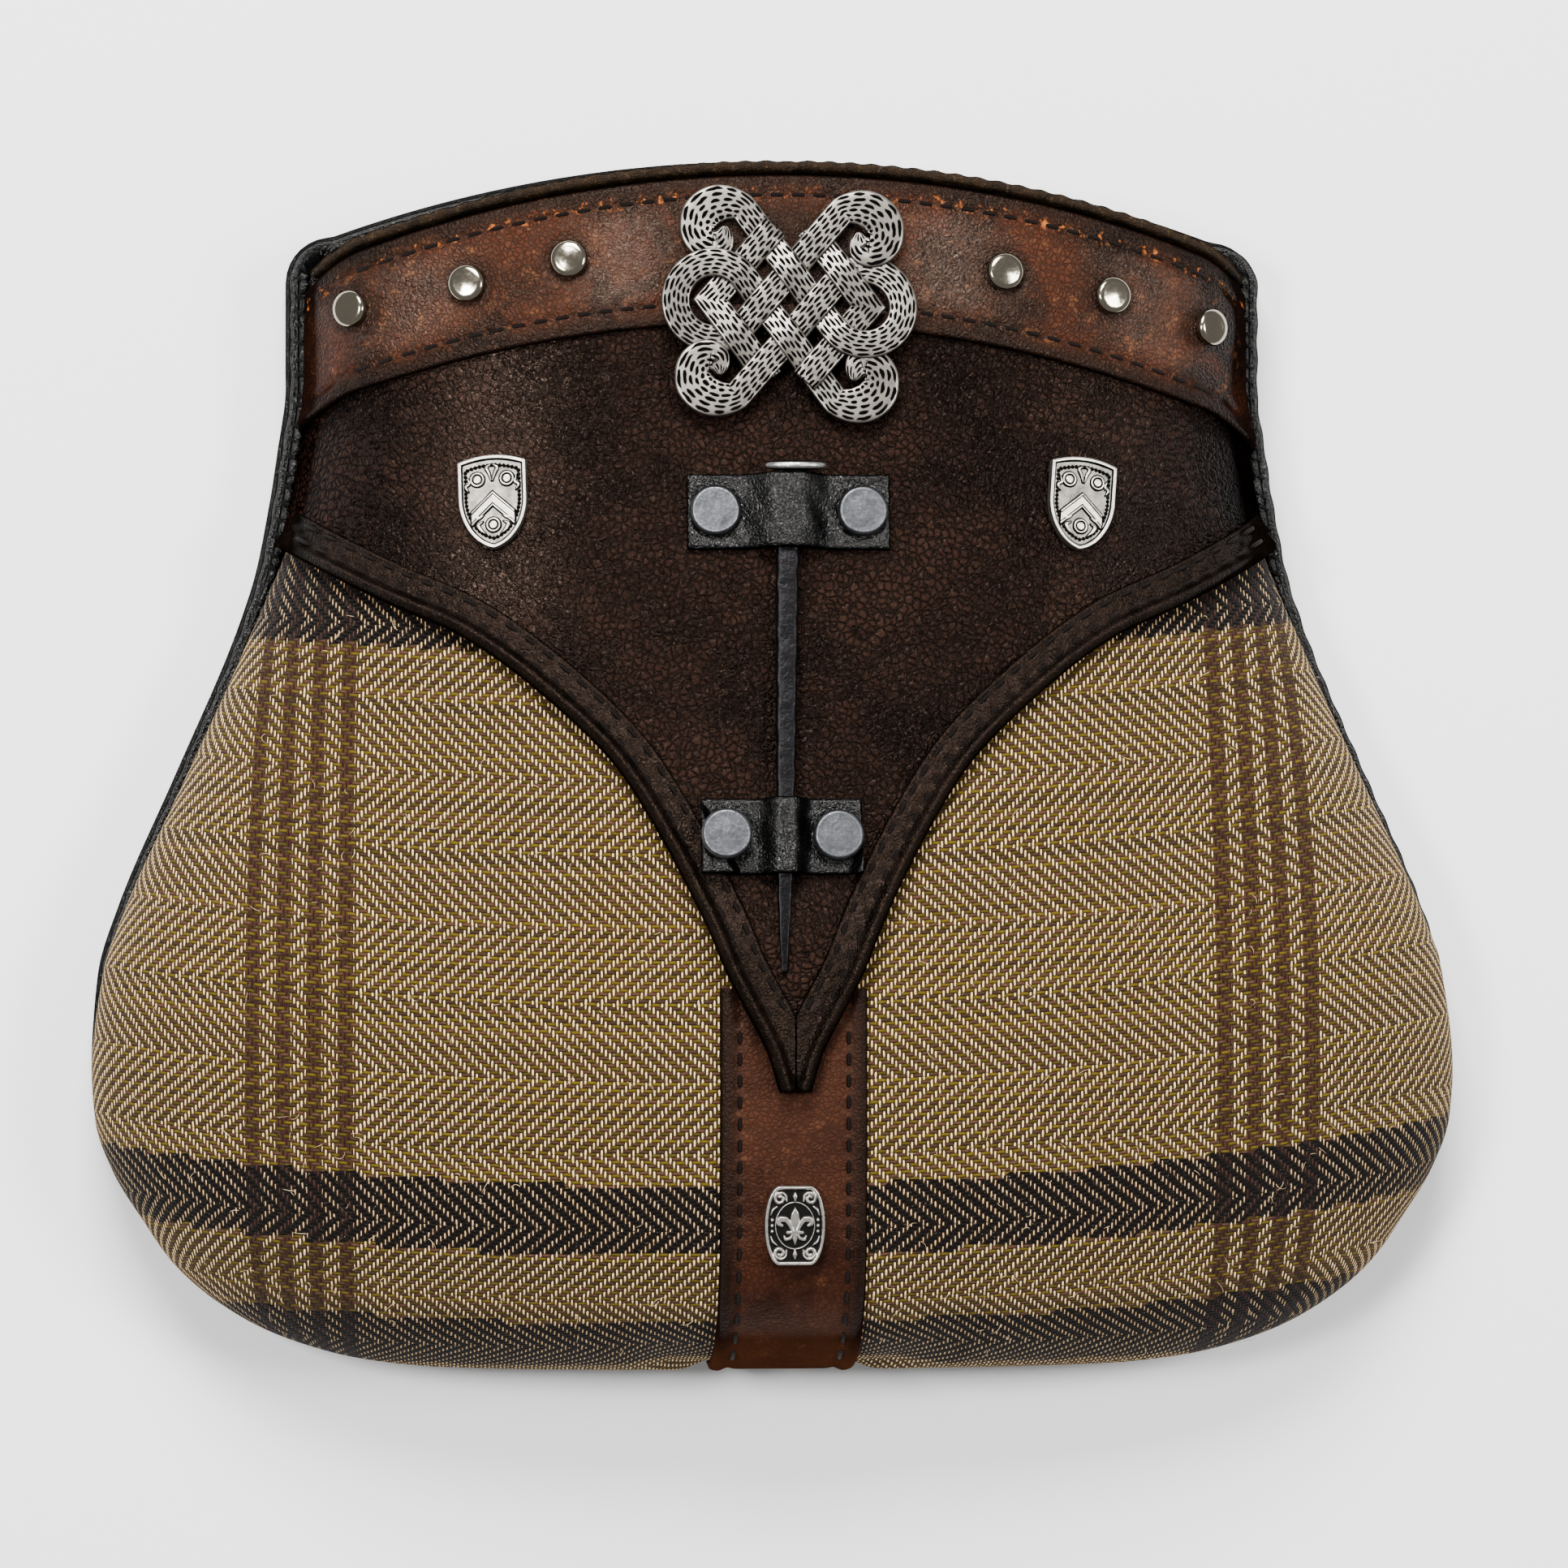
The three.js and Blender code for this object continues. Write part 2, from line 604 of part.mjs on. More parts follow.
const STUD_SIDES = 12;
const studProfile = () => {
  const r = STUD_DIAMETER / 2;
  const dome = [0.92, 0.55].map((s) => {
    return [r * s, STUD_RIM + (STUD_HEIGHT - STUD_RIM) * Math.sqrt(1 - s * s)];
  });
  return [[r, 0], [r, STUD_RIM], ...dome, [0, STUD_HEIGHT]];
};
const studSeats = studs.map(({ x, up }) => {
  return seat(x, up, STUD_DIAMETER / 2, STUD_DIAMETER / 2, () => BAND_TOP);
});
const studHoles = studSeats.map((where) => {
  const hole = shankHole(STUD_SHANK / 2, BAND_LEATHER * 2);
  return hole.applyMatrix4(where.basis).translate(...where.middle.toArray());
});
add("top_band", cut(topBand(), studHoles), BAND_BROWN);
studSeats.forEach((where, i) => {
  const geometry = rivet(studProfile(), STUD_SHANK / 2, BAND_LEATHER + GAP, STUD_SIDES);
  place(add("stud_" + (i + 1), geometry, POLISHED), where);
});

// Trim along the yoke's lower edge, one piece on each side, meeting at the point
const TRIM_SECTION = [
  { in: 0, roll: 0.25 },
  { in: 0.12, roll: 1 },
  { in: 0.3, roll: 0.85 },
  { in: 0.42, roll: 0 },
  { in: 1, roll: 0 },
];
const trimShares = yokeShares.filter((share) => share > YOKE_MIDDLE_SHARES[0]).reverse();
function trim(side) {
  const at = (i, j) => {
    const t = j < trimShares.length ? yokeEdgeAt(trimShares[j]) : 1;
    const here = yokeEdge(t);
    const ahead = yokeEdge(Math.min(t + 0.01, 1)).sub(yokeEdge(Math.max(t - 0.01, 0)));
    const inward = new THREE.Vector2(ahead.y, -ahead.x).normalize();
    const room = (here.x - TRIM_SEAM / 2) / Math.max(-inward.x, 1e-3);
    const { in: along, roll } = TRIM_SECTION[i];
    const spot = here.clone().addScaledVector(inward, Math.min(TRIM_WIDTH, room) * along);
    const bed = YOKE_TOP + yokeLift(spot.y) + DRAPE_GAP;
    const share = (side * Math.min(spot.x / halfWidth(spot.y), 1));
    const top = bed + TRIM_LEATHER + TRIM_ROLL * roll;
    return [layerShare(share, spot.y, top), layerShare(share, spot.y, bed)];
  };
  return slab(TRIM_SECTION.length - 1, trimShares.length, at);
}
add("trim_left", trim(-1), TRIM_BROWN);
add("trim_right", trim(1), TRIM_BROWN);

// Strap down the middle, from under the yoke round the bottom edge
const STRAP_COLUMNS = 4;
const STRAP_ROWS = [0, 0.004, 0.016, 0.04, 0.08, 0.14, 0.22, 0.32, 0.48, 0.64, 0.82, 1];
function centreStrap() {
  const at = (i, j) => {
    const x = STRAP_WIDTH * (i / STRAP_COLUMNS - 0.5);
    const up = STRAP_TOP * STRAP_ROWS[j];
    return [onFront(x, up, STRAP_STACK), onFront(x, up, GAP)];
  };
  return slab(STRAP_COLUMNS, STRAP_ROWS.length - 1, at);
}
add("centre_strap", centreStrap(), STRAP_BROWN);

// Binding over the raw edge of the mouth's lip
function lipBinding() {
  const rings = [];
  for (const share of frontShares) {
    const most = share * LIP_BINDING_REACH;
    const { point, normal } = frontFrame(most, lipUp(most));
    const base = new THREE.Vector3(0, DRAPE_GAP, 0).add(point);
    const [low, high] = [-LIP_BINDING_BEHIND, BAND_TOP + LIP_BINDING_PROUD];
    const section = [
      [low, 0],
      [high, 0],
      [high, LIP_BINDING_HEIGHT * 0.6],
      [high * 0.6, LIP_BINDING_HEIGHT],
      [low * 0.6, LIP_BINDING_HEIGHT],
      [low, LIP_BINDING_HEIGHT * 0.6],
    ];
    rings.push(section.map(([out, y]) => {
      const p = base.clone().addScaledVector(normal, out).add(new THREE.Vector3(0, y, 0));
      return p.setZ(Math.max(p.z, RIM_Z));
    }));
  }
  return loft(rings, false);
}
add("lip_binding", lipBinding(), LIP_OLIVE);

// The back's outline as points with outward directions: bottom, right side, mouth, left side
const RIM_ROWS = [0, 0.006, 0.014, 0.024, 0.034, 0.047, 0.061, 0.085, 0.116, 0.145, 0.171, 0.21];
RIM_ROWS.push(0.25, 0.3, 0.35, 0.4, 0.45, 0.5, 0.55, 0.6, 0.65, 0.7, 0.75, 0.8, 0.86);
const MOUTH_STEPS = 12;
const CORNER_STEPS = 4;

function backOutline() {
  const right = RIM_ROWS.map((share) => {
    const up = share * POUCH_HEIGHT;
    const step = 0.4;
    const x = halfWidth(up);
    const slope = (halfWidth(up + step) - halfWidth(Math.max(up - step, 0))) / (Math.min(up, step) + step);
    const out = new THREE.Vector2(1, -slope).normalize();
    const flare = BINDING_FLARE * column(FLARE, "up", "out", share);
    return { x: x + out.x * flare, y: up + out.y * flare, side: 1 };
  });
  right[0].y = Math.min(right[0].y, right[1].y);
  const top = POUCH_HEIGHT + BACK_TOP_OVERHANG;
  const sideX = right.at(-1).x;
  const arcUp = (x) => top - BACK_TOP_RADIUS + Math.sqrt(BACK_TOP_RADIUS ** 2 - x * x);
  const cornerX = sideX - BACK_CORNER_RADIUS;
  const cornerY = arcUp(cornerX) - BACK_CORNER_RADIUS;
  for (let k = 0; k < CORNER_STEPS; k++) {
    const turn = (k / CORNER_STEPS) * (Math.PI / 2);
    const x = cornerX + BACK_CORNER_RADIUS * Math.cos(turn);
    right.push({ x, y: cornerY + BACK_CORNER_RADIUS * Math.sin(turn), side: 1 - k / CORNER_STEPS });
  }
  const mouth = [];
  for (let k = 0; k <= MOUTH_STEPS; k++) {
    const x = cornerX * (1 - (2 * k) / MOUTH_STEPS);
    mouth.push({ x, y: arcUp(x), side: 0 });
  }
  const left = right.map((p) => ({ ...p, x: -p.x })).reverse();
  const all = [...right, ...mouth, ...left];
  return all.map((p, i) => {
    const before = all.at(i - 1);
    const after = all[(i + 1) % all.length];
    const out = new THREE.Vector2(after.y - before.y, before.x - after.x).normalize();
    return { ...p, out };
  });
}
const backLine = backOutline();
const offsetLine = (by) => backLine.map((p) => new THREE.Vector2(p.x, p.y).addScaledVector(p.out, by));

// Binding that closes the seam between front and back and edges the back along the mouth
function edgeBinding() {
  const rings = backLine.map((p) => {
    const height = THREE.MathUtils.lerp(BINDING_TOP_HEIGHT, BINDING_HEIGHT, ease(p.side));
    // where the flare carries the binding out, it is wider, so that it still reaches the rim
    const inner = Math.abs(p.x) - halfWidth(clamp(p.y, 0, POUCH_HEIGHT));
    const width = BINDING_WIDTH + p.side * clamp(inner, 0, BINDING_FLARE) * 0.75;
    const section = [
      [-width, 0],
      [0, 0],
      [0, height - BINDING_ROUND],
      [-BINDING_ROUND, height],
      [-width + BINDING_ROUND, height],
      [-width, height - BINDING_ROUND],
    ];
    return section.map(([out, z]) => {
      const q = new THREE.Vector2(p.x, p.y).addScaledVector(p.out, out);
      return new THREE.Vector3(q.x, q.y, BINDING_Z + z);
    });
  });
  return loft(rings, true);
}
add("edge_binding", edgeBinding(), BLACK_LEATHER);

function backPanel() {
  const shape = new THREE.Shape(offsetLine(BACK_MARGIN));
  const plate = new THREE.ExtrudeGeometry(shape, { depth: BACK_LEATHER, bevelEnabled: false });
  return plate.translate(0, 0, BACK_OUTER_Z);
}
add("back_panel", backPanel(), BLACK_LEATHER);

// Belt loop: a strap sewn at both ends, lying flat against the back
function beltLoop() {
  const half = LOOP_LENGTH / 2;
  const stations = [-half, -half + LOOP_SEWN_END, -half + LOOP_SEWN_END + LOOP_RAMP];
  const ends = [...stations, ...stations.map((y) => -y).reverse()];
  const at = (i, j) => {
    const y = LOOP_CENTRE + ends[j];
    const sewn = j < 2 || j > 3;
    const top = BACK_OUTER_Z - (sewn ? GAP : LOOP_SLACK);
    const x = LOOP_WIDTH * (i - 0.5);
    return [new THREE.Vector3(x, y, top), new THREE.Vector3(x, y, top - LOOP_LEATHER)];
  };
  return slab(1, ends.length - 1, at);
}
add("belt_loop", beltLoop(), BLACK_LEATHER);

// Nail: a straight forged bar lying on the yoke
const NAIL_STATIONS = [
  { down: 0, width: 1 },
  { down: 0.18, width: 1 },
  { down: 0.36, width: 0.94 },
  { down: 0.62, width: 0.83 },
  { down: 0.81, width: 0.68 },
  { down: 0.87, width: 0.58 },
  { down: 0.94, width: 0.41 },
  { down: 1, width: 0.2 },
];
// The line of the nail's underside: level enough to clear the yoke by GAP everywhere
function nailLine() {
  const lean = Math.tan(radians(NAIL_TILT));
  const bed = (d) => {
    const up = NAIL_TOP - d * NAIL_LENGTH;
    const x = NAIL_POINT_ACROSS + lean * (up - NAIL_TOP + NAIL_LENGTH);
    return { x, up, z: onFront(x, up, YOKE_TOP + yokeLift(up)).z };
  };
  const [head, point] = [bed(0), bed(1)];
  const chord = (d) => THREE.MathUtils.lerp(head.z, point.z, d);
  let raise = 0;
  for (let k = 0; k <= 40; k++) raise = Math.max(raise, bed(k / 40).z - chord(k / 40));
  return (d) => {
    const { x, up } = bed(d);
    return new THREE.Vector3(x, up, chord(d) + raise + GAP);
  };
}
const nailAt = nailLine();
const nailThickness = (d) => NAIL_THICKNESS * column(NAIL_STATIONS, "down", "width", d);

function nail() {
  const rings = NAIL_STATIONS.map(({ down, width }) => {
    const p = nailAt(down);
    const [w, t] = [(NAIL_WIDTH * width) / 2, NAIL_THICKNESS * width];
    const corners = [[-w, 0], [w, 0], [w, t], [-w, t]];
    return corners.map(([x, z]) => new THREE.Vector3(p.x + x, p.y, p.z + z));
  });
  const shaft = loft(rings, false);
  const head = new THREE.CylinderGeometry(1, 1, NAIL_HEAD_THICKNESS, 16);
  head.scale(NAIL_HEAD_WIDTH / 2, 1, NAIL_HEAD_HEIGHT / 2);
  const top = nailAt(0);
  head.translate(top.x + NAIL_HEAD_ACROSS, top.y + NAIL_HEAD_THICKNESS * 0.4, top.z + NAIL_HEAD_HEIGHT / 2);
  return fuse([shaft, head]);
}
add("nail", nail(), FORGED_STEEL);

// Keepers: leather tabs arched over the nail, each held by two rivets
const keeperSizes = (down, across, width, rivetPitch) => {
  const arch = (rivetPitch - RIVET_DIAMETER) / 2 - KEEPER_ARCH_CLEARANCE;
  return { middle: NAIL_TOP - down, across, width, rivetPitch, arch };
};
const KEEPERS = {
  upper: keeperSizes(UPPER_KEEPER_DOWN, UPPER_KEEPER_ACROSS, UPPER_KEEPER_WIDTH, UPPER_RIVET_PITCH),
  lower: keeperSizes(LOWER_KEEPER_DOWN, LOWER_KEEPER_ACROSS, LOWER_KEEPER_WIDTH, LOWER_RIVET_PITCH),
};
const KEEPER_COLUMNS = [-1, -0.75, -0.5, -0.42, -0.36, -0.3, -0.24, -0.18, -0.1, 0];
const keeperShares = [...KEEPER_COLUMNS, ...KEEPER_COLUMNS.slice(0, -1).map((s) => -s).reverse()];
const KEEPER_ROWS = 3;

function keeperOffset(keeper, x, up) {
  const along = clamp((NAIL_TOP - up) / NAIL_LENGTH, 0, 1);
  const nailPoint = nailAt(along);
  const { point, normal } = frontFrame(nailPoint.x / halfWidth(up), up);
  const nailTop = nailPoint.clone().setZ(nailPoint.z + nailThickness(along)).sub(point).dot(normal);
  const from = Math.abs(x - nailPoint.x) / keeper.arch;
  const arch = 1 - ease((from - KEEPER_ARCH_FLAT) / (1 - KEEPER_ARCH_FLAT));
  const bed = keeperBed(x, up);
  return bed + DRAPE_GAP + arch * Math.max(nailTop - bed, 0);
}

function keeperSheet(keeper) {
  const at = (i, j) => {
    const x = keeper.across + (keeper.width / 2) * keeperShares[i];
    const up = keeper.middle + KEEPER_HEIGHT * (j / KEEPER_ROWS - 0.5);
    const low = keeperOffset(keeper, x, up);
    return [onFront(x, up, low + KEEPER_LEATHER), onFront(x, up, low)];
  };
  return slab(keeperShares.length - 1, KEEPER_ROWS, at);
}

const RIVET_SIDES = 16;
const rivetProfile = () => {
  const r = RIVET_DIAMETER / 2;
  return [
    [r, 0],
    [r, RIVET_HEIGHT - RIVET_EDGE],
    [r - RIVET_EDGE, RIVET_HEIGHT],
    [0, RIVET_HEIGHT],
  ];
};
let rivetCount = 0;
for (const [where, keeper] of Object.entries(KEEPERS)) {
  const seats = [-1, 1].map((side) => {
    const x = keeper.across + (side * keeper.rivetPitch) / 2;
    const topAt = (a, b) => keeperOffset(keeper, a, b) + KEEPER_LEATHER;
    return seat(x, keeper.middle, (RIVET_DIAMETER / 2) * 0.8, (RIVET_DIAMETER / 2) * 0.8, topAt);
  });
  const holes = seats.map((spot) => {
    const hole = shankHole(RIVET_SHANK / 2, KEEPER_LEATHER * 3);
    return hole.applyMatrix4(spot.basis).translate(...spot.middle.toArray());
  });
  add("keeper_" + where, cut(keeperSheet(keeper), holes), BLACK_LEATHER);
  for (const spot of seats) {
    rivetCount += 1;
    const geometry = rivet(rivetProfile(), RIVET_SHANK / 2, KEEPER_LEATHER, RIVET_SIDES);
    place(add("keeper_rivet_" + rivetCount, geometry, GUNMETAL), spot);
  }
}

// Flat cast plates with a raised rim and raised figures
const plate = (shape, depth, z = 0) => {
  const geometry = new THREE.ExtrudeGeometry(shape, { depth, bevelEnabled: false, curveSegments: 6 });
  return geometry.translate(0, 0, z);
};
function rimmed(outline, thickness, relief, rim, figures) {
  const width = Math.max(...outline.map((p) => p.x)) * 2;
  const inset = outline.map((p) => p.clone().multiplyScalar(1 - (2 * rim) / width));
  const border = new THREE.Shape(outline);
  border.holes.push(new THREE.Path(inset));
  const raised = [plate(border, thickness + relief), ...figures.map((f) => plate(f, thickness + relief))];
  return fuse([plate(new THREE.Shape(outline), thickness), ...raised]);
}

function disc(x, y, radius, sides) {
  const shape = new THREE.Shape();
  for (let k = 0; k < sides; k++) {
    const turn = (k / sides) * Math.PI * 2;
    const [px, py] = [x + radius * Math.cos(turn), y + radius * Math.sin(turn)];
    if (k === 0) shape.moveTo(px, py);
    else shape.lineTo(px, py);
  }
  return shape;
}

// Shield: an arched top, straight shoulders and a round point
function shieldOutline() {
  const [w, h] = [SHIELD_WIDTH / 2, SHIELD_HEIGHT / 2];
  const right = new THREE.Path();
  right.moveTo(0, -h);
  right.bezierCurveTo(w * 0.6, -h * 0.9, w * 0.95, -h * 0.45, w, 0);
  right.lineTo(w, h * 0.86);
  right.quadraticCurveTo(w * 0.5, h, 0, h);
  const points = right.getPoints(5);
  const left = points.slice(1, -1).map((p) => new THREE.Vector2(-p.x, p.y)).reverse();
  return [...points, ...left];
}
function chevron() {
  const [w, h, bar] = [SHIELD_WIDTH * 0.33, SHIELD_HEIGHT * 0.16, SHIELD_HEIGHT * 0.13];
  const corners = [[-w, -h], [0, h * 0.6], [w, -h], [w, -h - bar], [0, h * 0.6 - bar], [-w, -h - bar]];
  return new THREE.Shape(corners.map(([x, y]) => new THREE.Vector2(x, y + SHIELD_HEIGHT * 0.02)));
}
for (const { name, side, lean } of SHIELDS) {
  const round = SHIELD_WIDTH * 0.1;
  const spots = [[-0.22, 0.24], [0.22, 0.24], [0, -0.24]].map(([a, b]) => {
    return disc(a * SHIELD_WIDTH, b * SHIELD_HEIGHT, round, 8);
  });
  const geometry = rimmed(shieldOutline(), SHIELD_THICKNESS, SHIELD_RELIEF, SHIELD_RIM, [chevron(), ...spots]);
  const x = side * SHIELD_ACROSS;
  const up = POUCH_HEIGHT - SHIELD_BELOW_LIP;
  const where = seat(x, up, SHIELD_WIDTH / 2, SHIELD_HEIGHT / 2, leatherTop);
  place(add(name, geometry, ANTIQUE_SILVER), where, lean);
}

// Lily badge: a barrel-shaped plate with a three-petalled lily and a scroll in each corner
function barrelOutline() {
  const [w, h] = [LILY_WIDTH / 2, LILY_HEIGHT / 2];
  const right = new THREE.Path();
  right.moveTo(w * 0.5, -h);
  right.bezierCurveTo(w * 0.8, -h, w, -h * 0.5, w, 0);
  right.bezierCurveTo(w, h * 0.5, w * 0.8, h, w * 0.5, h);
  const points = right.getPoints(7);
  return [...points, ...points.map((p) => new THREE.Vector2(-p.x, p.y)).reverse()];
}
function lilyPetal() {
  const [w, h] = [LILY_WIDTH * 0.1, LILY_HEIGHT * 0.3];
  const petal = new THREE.Shape();
  petal.moveTo(0, h);
  petal.quadraticCurveTo(w * 1.9, h * 0.35, w * 0.45, -h * 0.3);
  petal.lineTo(w * 0.8, -h * 0.8);
  petal.lineTo(-w * 0.8, -h * 0.8);
  petal.lineTo(-w * 0.45, -h * 0.3);
  petal.quadraticCurveTo(-w * 1.9, h * 0.35, 0, h);
  return petal;
}
function lilyLeaf(side) {
  const [w, h] = [LILY_WIDTH * side, LILY_HEIGHT];
  const leaf = new THREE.Shape();
  leaf.moveTo(w * 0.02, -h * 0.1);
  leaf.bezierCurveTo(w * 0.08, h * 0.1, w * 0.32, h * 0.12, w * 0.33, -h * 0.02);
  leaf.lineTo(w * 0.27, -h * 0.09);
  leaf.lineTo(w * 0.22, -h * 0.03);
  leaf.bezierCurveTo(w * 0.22, h * 0.03, w * 0.12, h * 0.01, w * 0.1, -h * 0.13);
  return leaf;
}
const scrolls = [[-1, -1], [1, -1], [-1, 1], [1, 1]].map(([a, b]) => {
  return disc(a * LILY_WIDTH * 0.24, b * LILY_HEIGHT * 0.37, LILY_WIDTH * 0.11, 8);
});
const lilyFigures = [lilyPetal(), lilyLeaf(1), lilyLeaf(-1), ...scrolls];
const lilyPlate = rimmed(barrelOutline(), LILY_THICKNESS, LILY_RELIEF, LILY_RIM, lilyFigures);
const lilyUp = YOKE_POINT_UP - LILY_BELOW_POINT;
const lilySeat = seat(0, lilyUp, LILY_WIDTH / 2, LILY_HEIGHT / 2, leatherTop);
place(add("lily_badge", lilyPlate, ANTIQUE_SILVER), lilySeat);

// Knot brooch, in its own frame: straight strands on slanted lines, loops and curls
// heading(1) runs down to the right and heading(-1) up to the right; out is the line's distance
const slant = radians(STRAND_ANGLE);
const onLine = (way, out, along) => {
  const [c, s] = [Math.cos(slant), Math.sin(slant)];
  return new THREE.Vector2(out * s + along * c, way * (out * c - along * s));
};
// where the falling line at distance a meets the rising line at distance b
const crossing = (a, b) => {
  return new THREE.Vector2((a + b) / (2 * Math.sin(slant)), (a - b) / (2 * Math.cos(slant)));
};
const curlEye = new THREE.Vector2(-CURL_ACROSS, CURL_UP);
const firstRadius = INNER_LINE + CURL_ACROSS * Math.sin(slant) - CURL_UP * Math.cos(slant);
const loopRadius = LOOP_EYE * Math.sin(slant) - INNER_LINE;

// The curl's centre line from its eye outwards, for the curl at the upper left
function curl() {
  const start = Math.PI / 2 - slant;
  return CURL.map(({ turn, out }) => {
    const angle = start + radians(turn);
    const r = firstRadius * out;
    return new THREE.Vector2(curlEye.x + r * Math.cos(angle), curlEye.y + r * Math.sin(angle));
  }).reverse();
}
// over is 1 where the strand passes over, -1 under, 0 between
const knotPoint = (p, over) => ({ x: p.x, y: p.y, over });
function longStrand() {
  const flip = (p) => ({ ...p, y: -p.y });
  const curlPoints = curl().map((p) => knotPoint(p, 0));
  const falling = [
    knotPoint(crossing(INNER_LINE, -OUTER_LINE), -1),
    knotPoint(crossing(INNER_LINE, -INNER_LINE), 1),
    knotPoint(crossing(INNER_LINE, INNER_LINE), -1),
    knotPoint(crossing(INNER_LINE, OUTER_LINE), 1),
  ];
  const rising = [
    knotPoint(crossing(OUTER_LINE, INNER_LINE), -1),
    knotPoint(crossing(INNER_LINE, INNER_LINE), 1),
    knotPoint(crossing(-INNER_LINE, INNER_LINE), -1),
    knotPoint(crossing(-OUTER_LINE, INNER_LINE), 1),
  ];
  const loop = [];
  const sweep = Math.PI - (Math.PI / 2 - slant);
  const LOOP_POINTS = 9;
  for (let k = 1; k < LOOP_POINTS; k++) {
    const angle = -sweep + (2 * sweep * k) / LOOP_POINTS;
    const p = new THREE.Vector2(LOOP_EYE + loopRadius * Math.cos(angle), loopRadius * Math.sin(angle));
    loop.push(knotPoint(p, 0));
  }
  return [...curlPoints, ...falling, ...loop, ...rising, ...curlPoints.map(flip).reverse()];
}
function shortStrand() {
  return [
    knotPoint(crossing(-OUTER_LINE, INNER_LINE), -1),
    knotPoint(crossing(-OUTER_LINE, -INNER_LINE), 1),
    knotPoint(crossing(-OUTER_LINE, -OUTER_LINE), 0),
    knotPoint(crossing(-INNER_LINE, -OUTER_LINE), -1),
    knotPoint(crossing(INNER_LINE, -OUTER_LINE), 1),
  ];
}

// A flat strand through the knot's points, with mitred turns
function strand(points, endReach) {
  const rings = points.map((p, i) => {
    const here = new THREE.Vector2(p.x, p.y);
    const before = points[Math.max(i - 1, 0)];
    const after = points[Math.min(i + 1, points.length - 1)];
    const into = new THREE.Vector2(p.x - before.x, p.y - before.y).normalize();
    const outOf = new THREE.Vector2(after.x - p.x, after.y - p.y).normalize();
    const along = into.clone().add(outOf).normalize();
    if (i === 0 || i === points.length - 1) here.addScaledVector(along, (i ? 1 : -1) * endReach);
    const reach = i === 0 || i === points.length - 1 ? 1 : 1 / Math.max(along.dot(into), 0.5);
    const across = new THREE.Vector2(-along.y, along.x).multiplyScalar((STRAND_WIDTH / 2) * reach);
    const middle = STRAND_WEAVE * (1 + p.over) + STRAND_THICKNESS / 2;
    const section = [[-1, -0.5], [1, -0.5], [1, 0.1], [0.72, 0.5], [-0.72, 0.5], [-1, 0.1]];
    return section.map(([a, b]) => {
      const z = middle + b * STRAND_THICKNESS;
      return new THREE.Vector3(here.x + a * across.x, here.y + a * across.y, z);
    });
  });
  return loft(rings, false);
}
function knot() {
  const [long, short] = [strand(longStrand(), STRAND_WIDTH * 0.3), strand(shortStrand(), STRAND_WIDTH * 0.5)];
  const turned = [long, short].map((g) => g.clone().rotateZ(Math.PI));
  return fuse([long, short, ...turned]);
}
const knotHalfWidth = LOOP_EYE + loopRadius + STRAND_WIDTH / 2;
const knotUp = POUCH_HEIGHT - KNOT_BELOW_LIP;
const knotSeat = seat(0, knotUp, knotHalfWidth, CURL_UP + firstRadius, leatherTop);
place(add("knot_brooch", knot(), ANTIQUE_SILVER), knotSeat, KNOT_LEAN);

// The part's origin is the middle of its underside
pouch.updateMatrixWorld(true);
const box = new THREE.Box3().setFromObject(pouch);
pouch.position.set(-(box.min.x + box.max.x) / 2, -(box.min.y + box.max.y) / 2, -box.min.z);

export default pouch;
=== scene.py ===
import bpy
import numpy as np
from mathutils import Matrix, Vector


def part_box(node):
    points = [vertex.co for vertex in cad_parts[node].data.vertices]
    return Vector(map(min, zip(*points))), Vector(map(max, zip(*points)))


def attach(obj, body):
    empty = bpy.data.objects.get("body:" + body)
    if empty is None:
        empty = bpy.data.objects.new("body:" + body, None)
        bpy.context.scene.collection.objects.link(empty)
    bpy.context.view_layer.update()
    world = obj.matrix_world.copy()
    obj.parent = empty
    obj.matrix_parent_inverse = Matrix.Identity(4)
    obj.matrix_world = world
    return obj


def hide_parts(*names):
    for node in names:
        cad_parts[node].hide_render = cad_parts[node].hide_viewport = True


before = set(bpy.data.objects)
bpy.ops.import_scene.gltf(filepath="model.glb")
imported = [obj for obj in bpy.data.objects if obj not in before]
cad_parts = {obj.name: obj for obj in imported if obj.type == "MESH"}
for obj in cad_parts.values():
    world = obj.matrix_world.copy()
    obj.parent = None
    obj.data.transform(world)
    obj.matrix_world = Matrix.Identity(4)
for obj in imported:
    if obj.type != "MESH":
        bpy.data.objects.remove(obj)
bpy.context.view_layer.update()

# %% [markdown]
# A sporran is the pouch that hangs in front of a kilt. This one has a domed front of herringbone
# tweed, a dark leather yoke that ends in a long point, a brown band with studs along the mouth, and
# metal ornaments. It lies on its back. Everything here is a surface worked out with numpy, in
# millimetres, and turned into metres when it becomes a mesh.

MM = 0.001


def box_mm(node):
    """Lowest and highest corner of a CAD node, in millimetres."""
    low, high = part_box(node)
    return np.array(low) / MM, np.array(high) / MM


# %% [markdown]
# Most pieces are grids of points. A sheet of leather is a grid for its outer face, one for its inner
# face, and a wall round the border, so that the mesh is closed. Writing the three as index arrays
# avoids any loop over the points.

